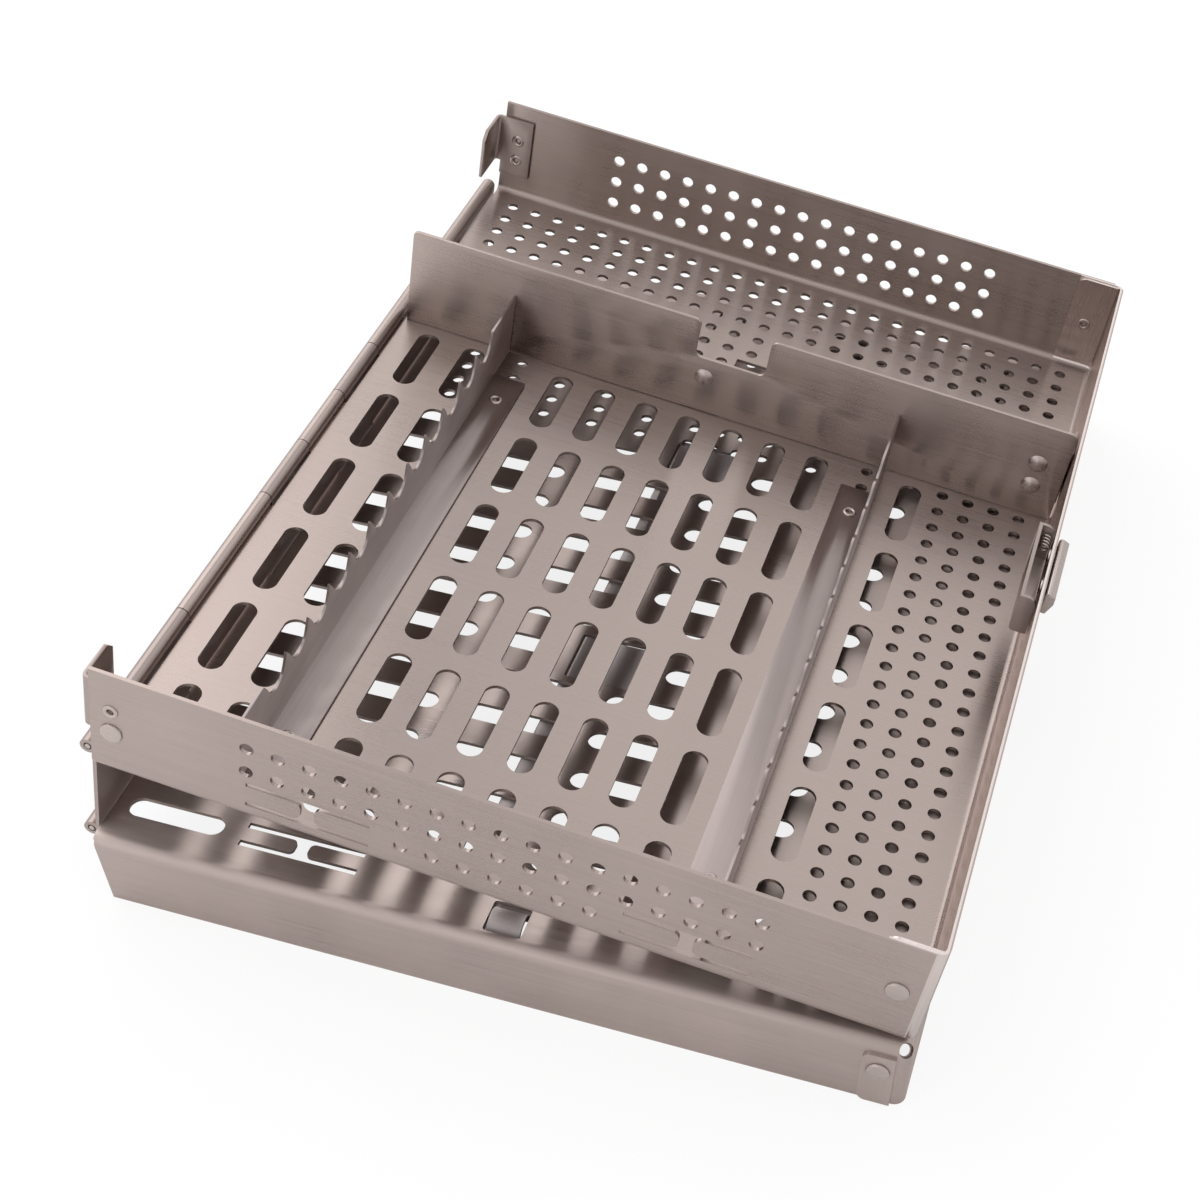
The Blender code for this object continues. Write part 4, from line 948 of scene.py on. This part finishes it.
def turned(name, profile):
    bm = bmesh.new()
    sides = rivet["sides"]
    rings = []
    for r, h in profile:
        count = 1 if r == 0 else sides
        rings.append([bm.verts.new((*point, h)) for point in ring(0, 0, r, sides)[:count]])
    for a, b in zip(rings, rings[1:]):
        for i in range(sides):
            j = (i + 1) % sides
            corners = [a[i % len(a)], a[j % len(a)], b[j % len(b)], b[i % len(b)]]
            bm.faces.new(list(dict.fromkeys(corners)))
    return linkMesh(name, bm)


def flatHead(radius, seat):
    height, edge, steps = rivet["head"], rivet["edge"], rivet["edgeSteps"]
    head = [((radius - edge) * across, seat + height * up) for across, up in rivet["crown"]]
    for step in range(steps + 1):
        turn = math.pi / 2 * step / steps
        head.append((radius - edge + edge * math.sin(turn), seat + height * math.cos(turn)))
    return head


def rolled(seat):
    hole, lip, steps = rivet["tube"], rivet["lip"], rivet["lipSteps"]
    middle, half = (rivet["small"] + hole) / 2, (rivet["small"] - hole) / 2
    head = [(0, seat - rivet["tubeDepth"]), (hole, seat - rivet["tubeDepth"])]
    for step in range(steps + 1):
        turn = math.pi * step / steps
        head.append((middle - half * math.cos(turn), seat + lip * math.sin(turn)))
    return head


def madeRivet(grip, outerHead, innerHead):
    lift = rivet["lift"]
    outer = outerHead(lift)
    inner = [(r, -grip - h) for r, h in innerHead(lift)]
    shank = [(rivet["shank"], lift), (rivet["shank"], -grip - lift)]
    return turned("shape", outer + shank + list(reversed(inner)))


def wide(seat):
    return flatHead(rivet["wide"], seat)


def ball(seat):
    radius, rise, steps = rivet["wide"], rivet["ballRise"], rivet["ballSteps"]
    curve = (radius * radius + rise * rise) / (2 * rise)
    reach = math.asin(radius / curve)
    turns = [reach * step / steps for step in range(steps + 1)]
    return [(curve * math.sin(turn), seat + curve * (math.cos(turn) - math.cos(reach))) for turn in turns]


def small(seat):
    return flatHead(rivet["small"], seat)


def rivetTree():
    tree, given = startTree("rivets", (("Rivet", "Object"), ("Size", "Float"), ("Metal", "Material")))
    shape = addNode(tree, "GeometryNodeObjectInfo", {"Object": given["Rivet"]})
    facing = addNode(tree, "GeometryNodeInputNamedAttribute", {"Name": "facing"}, data_type="FLOAT_VECTOR")
    aiming = {"Vector": facing.outputs["Attribute"]}
    aim = addNode(tree, "FunctionNodeAlignRotationToVector", aiming, axis="Z")
    return finishTree(tree, given["Metal"], {
        "Points": given["Geometry"], "Instance": shape.outputs["Geometry"],
        "Rotation": aim.outputs["Rotation"], "Scale": given["Size"]})


rivetSetting = rivetTree()


def setRivets(grip, outerHead, innerHead, spots):
    shape = madeRivet(grip, outerHead, innerHead)
    mesh = bpy.data.meshes.new("spots")
    mesh.from_pydata([at for at, facing in spots], [], [])
    facings = mesh.attributes.new("facing", "FLOAT_VECTOR", "POINT")
    for i, (at, facing) in enumerate(spots):
        facings.data[i].vector = facing
    made = runTree(rivetSetting, {"Rivet": shape, "Size": 1.0, "Metal": finishes["pins"]}, mesh)
    bpy.data.objects.remove(shape)
    return made


def joinMeshes(name, meshes):
    bm = bmesh.new()
    for mesh in meshes:
        bm.from_mesh(mesh)
    piece = linkMesh(name, bm)
    piece.data.shade_smooth()
    piece.data.set_sharp_from_angle(angle=math.radians(rivet["sharpAngle"]))
    return piece


def makeRivets():
    up, wallGrip = (0, 0, 1), 2 * thick + fit
    lower, upper = (trayFloor + z for z in bracket["rivets"])
    middle = trayFloor + tray["wallHeight"] / 2
    rackTop = trayFloor + fit + rack["thick"]

    def onWalls(x, z, half):
        return [((x, side * half, z), (0, side, 0)) for side in (-1, 1)]

    inTray = [
        setRivets(wallGrip, wide, rolled, onWalls(bracket["rivetX"], lower, trayHalf)),
        setRivets(wallGrip, rolled, rolled, onWalls(bracket["rivetX"], upper, trayHalf)),
        setRivets(2 * thick, wide, rolled, onWalls(tabMiddle, middle, trayHalf)),
        setRivets(thick + rack["thick"] + fit, rolled, small,
                  [((x, y, rackTop), up) for x in rackRivetsX for y in rackRivetsY]),
        setRivets(wallGrip, ball, small, [((x, divider["y"], z), (0, -1, 0)) for x, z in dividerRivets]),
    ]
    names = ["bracket_rivet_" + side + level for side in ("front", "rear") for level in ("_lower", "_upper")]
    names += ["corner_rivet_front", "corner_rivet_rear"]
    names += ["rack_rivet_" + side + end for side in ("left", "right") for end in ("_front", "_rear")]
    names += ["divider_rivet_" + place for place in ("middle", "lower", "upper")]
    settle(joinMeshes("tray_rivets", inTray), trayFrame, "tray", "pins", names)

    onLid = [
        setRivets(2 * thick, wide, small, onWalls(lidTabMiddle, flangeEnd + lid["rivetZ"], lidHalf + thick)),
        setRivets(wallGrip, small, small, [((barRivetX, y, lid["rise"]), up) for y in bar["rivets"]]),
    ]
    settle(joinMeshes("lid_rivets", onLid), lidFrame, "lid", "pins",
           ["lid_rivet_front", "lid_rivet_rear", "bar_rivet_front", "bar_rivet_rear"])

    studX = tray["reach"] + fit + thick
    studs = setRivets(fit + 2 * thick, small, small,
                      [((studX, y, wallTop - latch["drop"]), (1, 0, 0)) for y in (-latch["y"], latch["y"])])
    settle(joinMeshes("slide_studs", [studs]), trayFrame, "slide", "pins",
           ["latch_stud_front", "latch_stud_rear"])


makeRivets()
print("rivets set")


# Studio: pale floor, white backdrop, soft lamps, and the camera

studio = {
    "floorColour": (0.92, 0.92, 0.92),
    "floorSize": 6.0,
    "floorRough": 0.9,
    "floorShine": 0.1,
    "floorWhite": 0.85,      # share of the floor that the camera sees as plain white
    "worldStrength": 0.96,   # for light and reflections, while the camera sees plain white
    "lamps": (
        {"name": "soft_left", "at": (-0.9, 0.5, 1.1), "size": 1.6, "power": 10.0},
        {"name": "soft_side", "at": (-0.6, -1.15, 0.45), "size": 1.3, "power": 1.8},
        {"name": "soft_rear", "at": (0.3, 1.2, 1.1), "size": 1.2, "power": 2.0},
    ),
    "cameraAt": (0.11978, -0.44570, 0.41563),
    "cameraTurn": (0.827075, -0.038101, 0.290286),
    "focal": 64.144,
    "sensor": 36,
    "shift": (-0.06037, 0.03956),
}


def makeFloor():
    half = studio["floorSize"] / 2
    bm = bmesh.new()
    bm.faces.new([bm.verts.new((x, y, 0)) for x, y in rectangle(-half, half, -half, half)])
    floor = linkMesh("studio_floor", bm)
    material = bpy.data.materials.new("pale_floor")
    material.use_nodes = True
    tree = material.node_tree
    shader = fillNode(tree, tree.nodes["Principled BSDF"], {
        "Base Color": (*studio["floorColour"], 1), "Roughness": studio["floorRough"],
        "Specular IOR Level": studio["floorShine"]})
    seen = addNode(tree, "ShaderNodeLightPath", {}).outputs["Is Camera Ray"]
    white = addNode(tree, "ShaderNodeEmission", {}).outputs["Emission"]
    share = mathNode(tree, "MULTIPLY", seen, studio["floorWhite"])
    blend = addNode(tree, "ShaderNodeMixShader", {"Fac": share, 1: shader.outputs["BSDF"], 2: white})
    fillNode(tree, tree.nodes["Material Output"], {"Surface": blend.outputs["Shader"]})
    floor.data.materials.append(material)


def makeWorld():
    world = bpy.data.worlds.new("studio")
    bpy.context.scene.world = world
    world.use_nodes = True
    tree = world.node_tree
    seen = addNode(tree, "ShaderNodeLightPath", {}).outputs["Is Camera Ray"]
    strength = studio["worldStrength"]
    lit = mathNode(tree, "MULTIPLY_ADD", seen, 1 - strength, strength)
    fillNode(tree, tree.nodes["Background"], {"Color": (1, 1, 1, 1), "Strength": lit})


def makeLamps():
    for lamp in studio["lamps"]:
        light = bpy.data.lights.new(lamp["name"], "AREA")
        light.shape = "DISK"
        light.size = lamp["size"]
        light.energy = lamp["power"]
        holder = linkObject(lamp["name"], light)
        holder.location = lamp["at"]
        holder.rotation_euler = (-Vector(lamp["at"])).to_track_quat("-Z", "Y").to_euler()


def makeCamera():
    lens = bpy.data.cameras.new("camera")
    lens.lens = studio["focal"]
    lens.sensor_width = studio["sensor"]
    lens.sensor_fit = "HORIZONTAL"
    lens.shift_x, lens.shift_y = studio["shift"]
    lens.clip_start = 0.01
    camera = linkObject("camera", lens)
    camera.location = studio["cameraAt"]
    camera.rotation_euler = studio["cameraTurn"]
    bpy.context.scene.camera = camera


makeFloor()
makeWorld()
makeLamps()
makeCamera()
bpy.context.scene.view_settings.view_transform = "Standard"
print("studio ready")

bpy.context.view_layer.update()
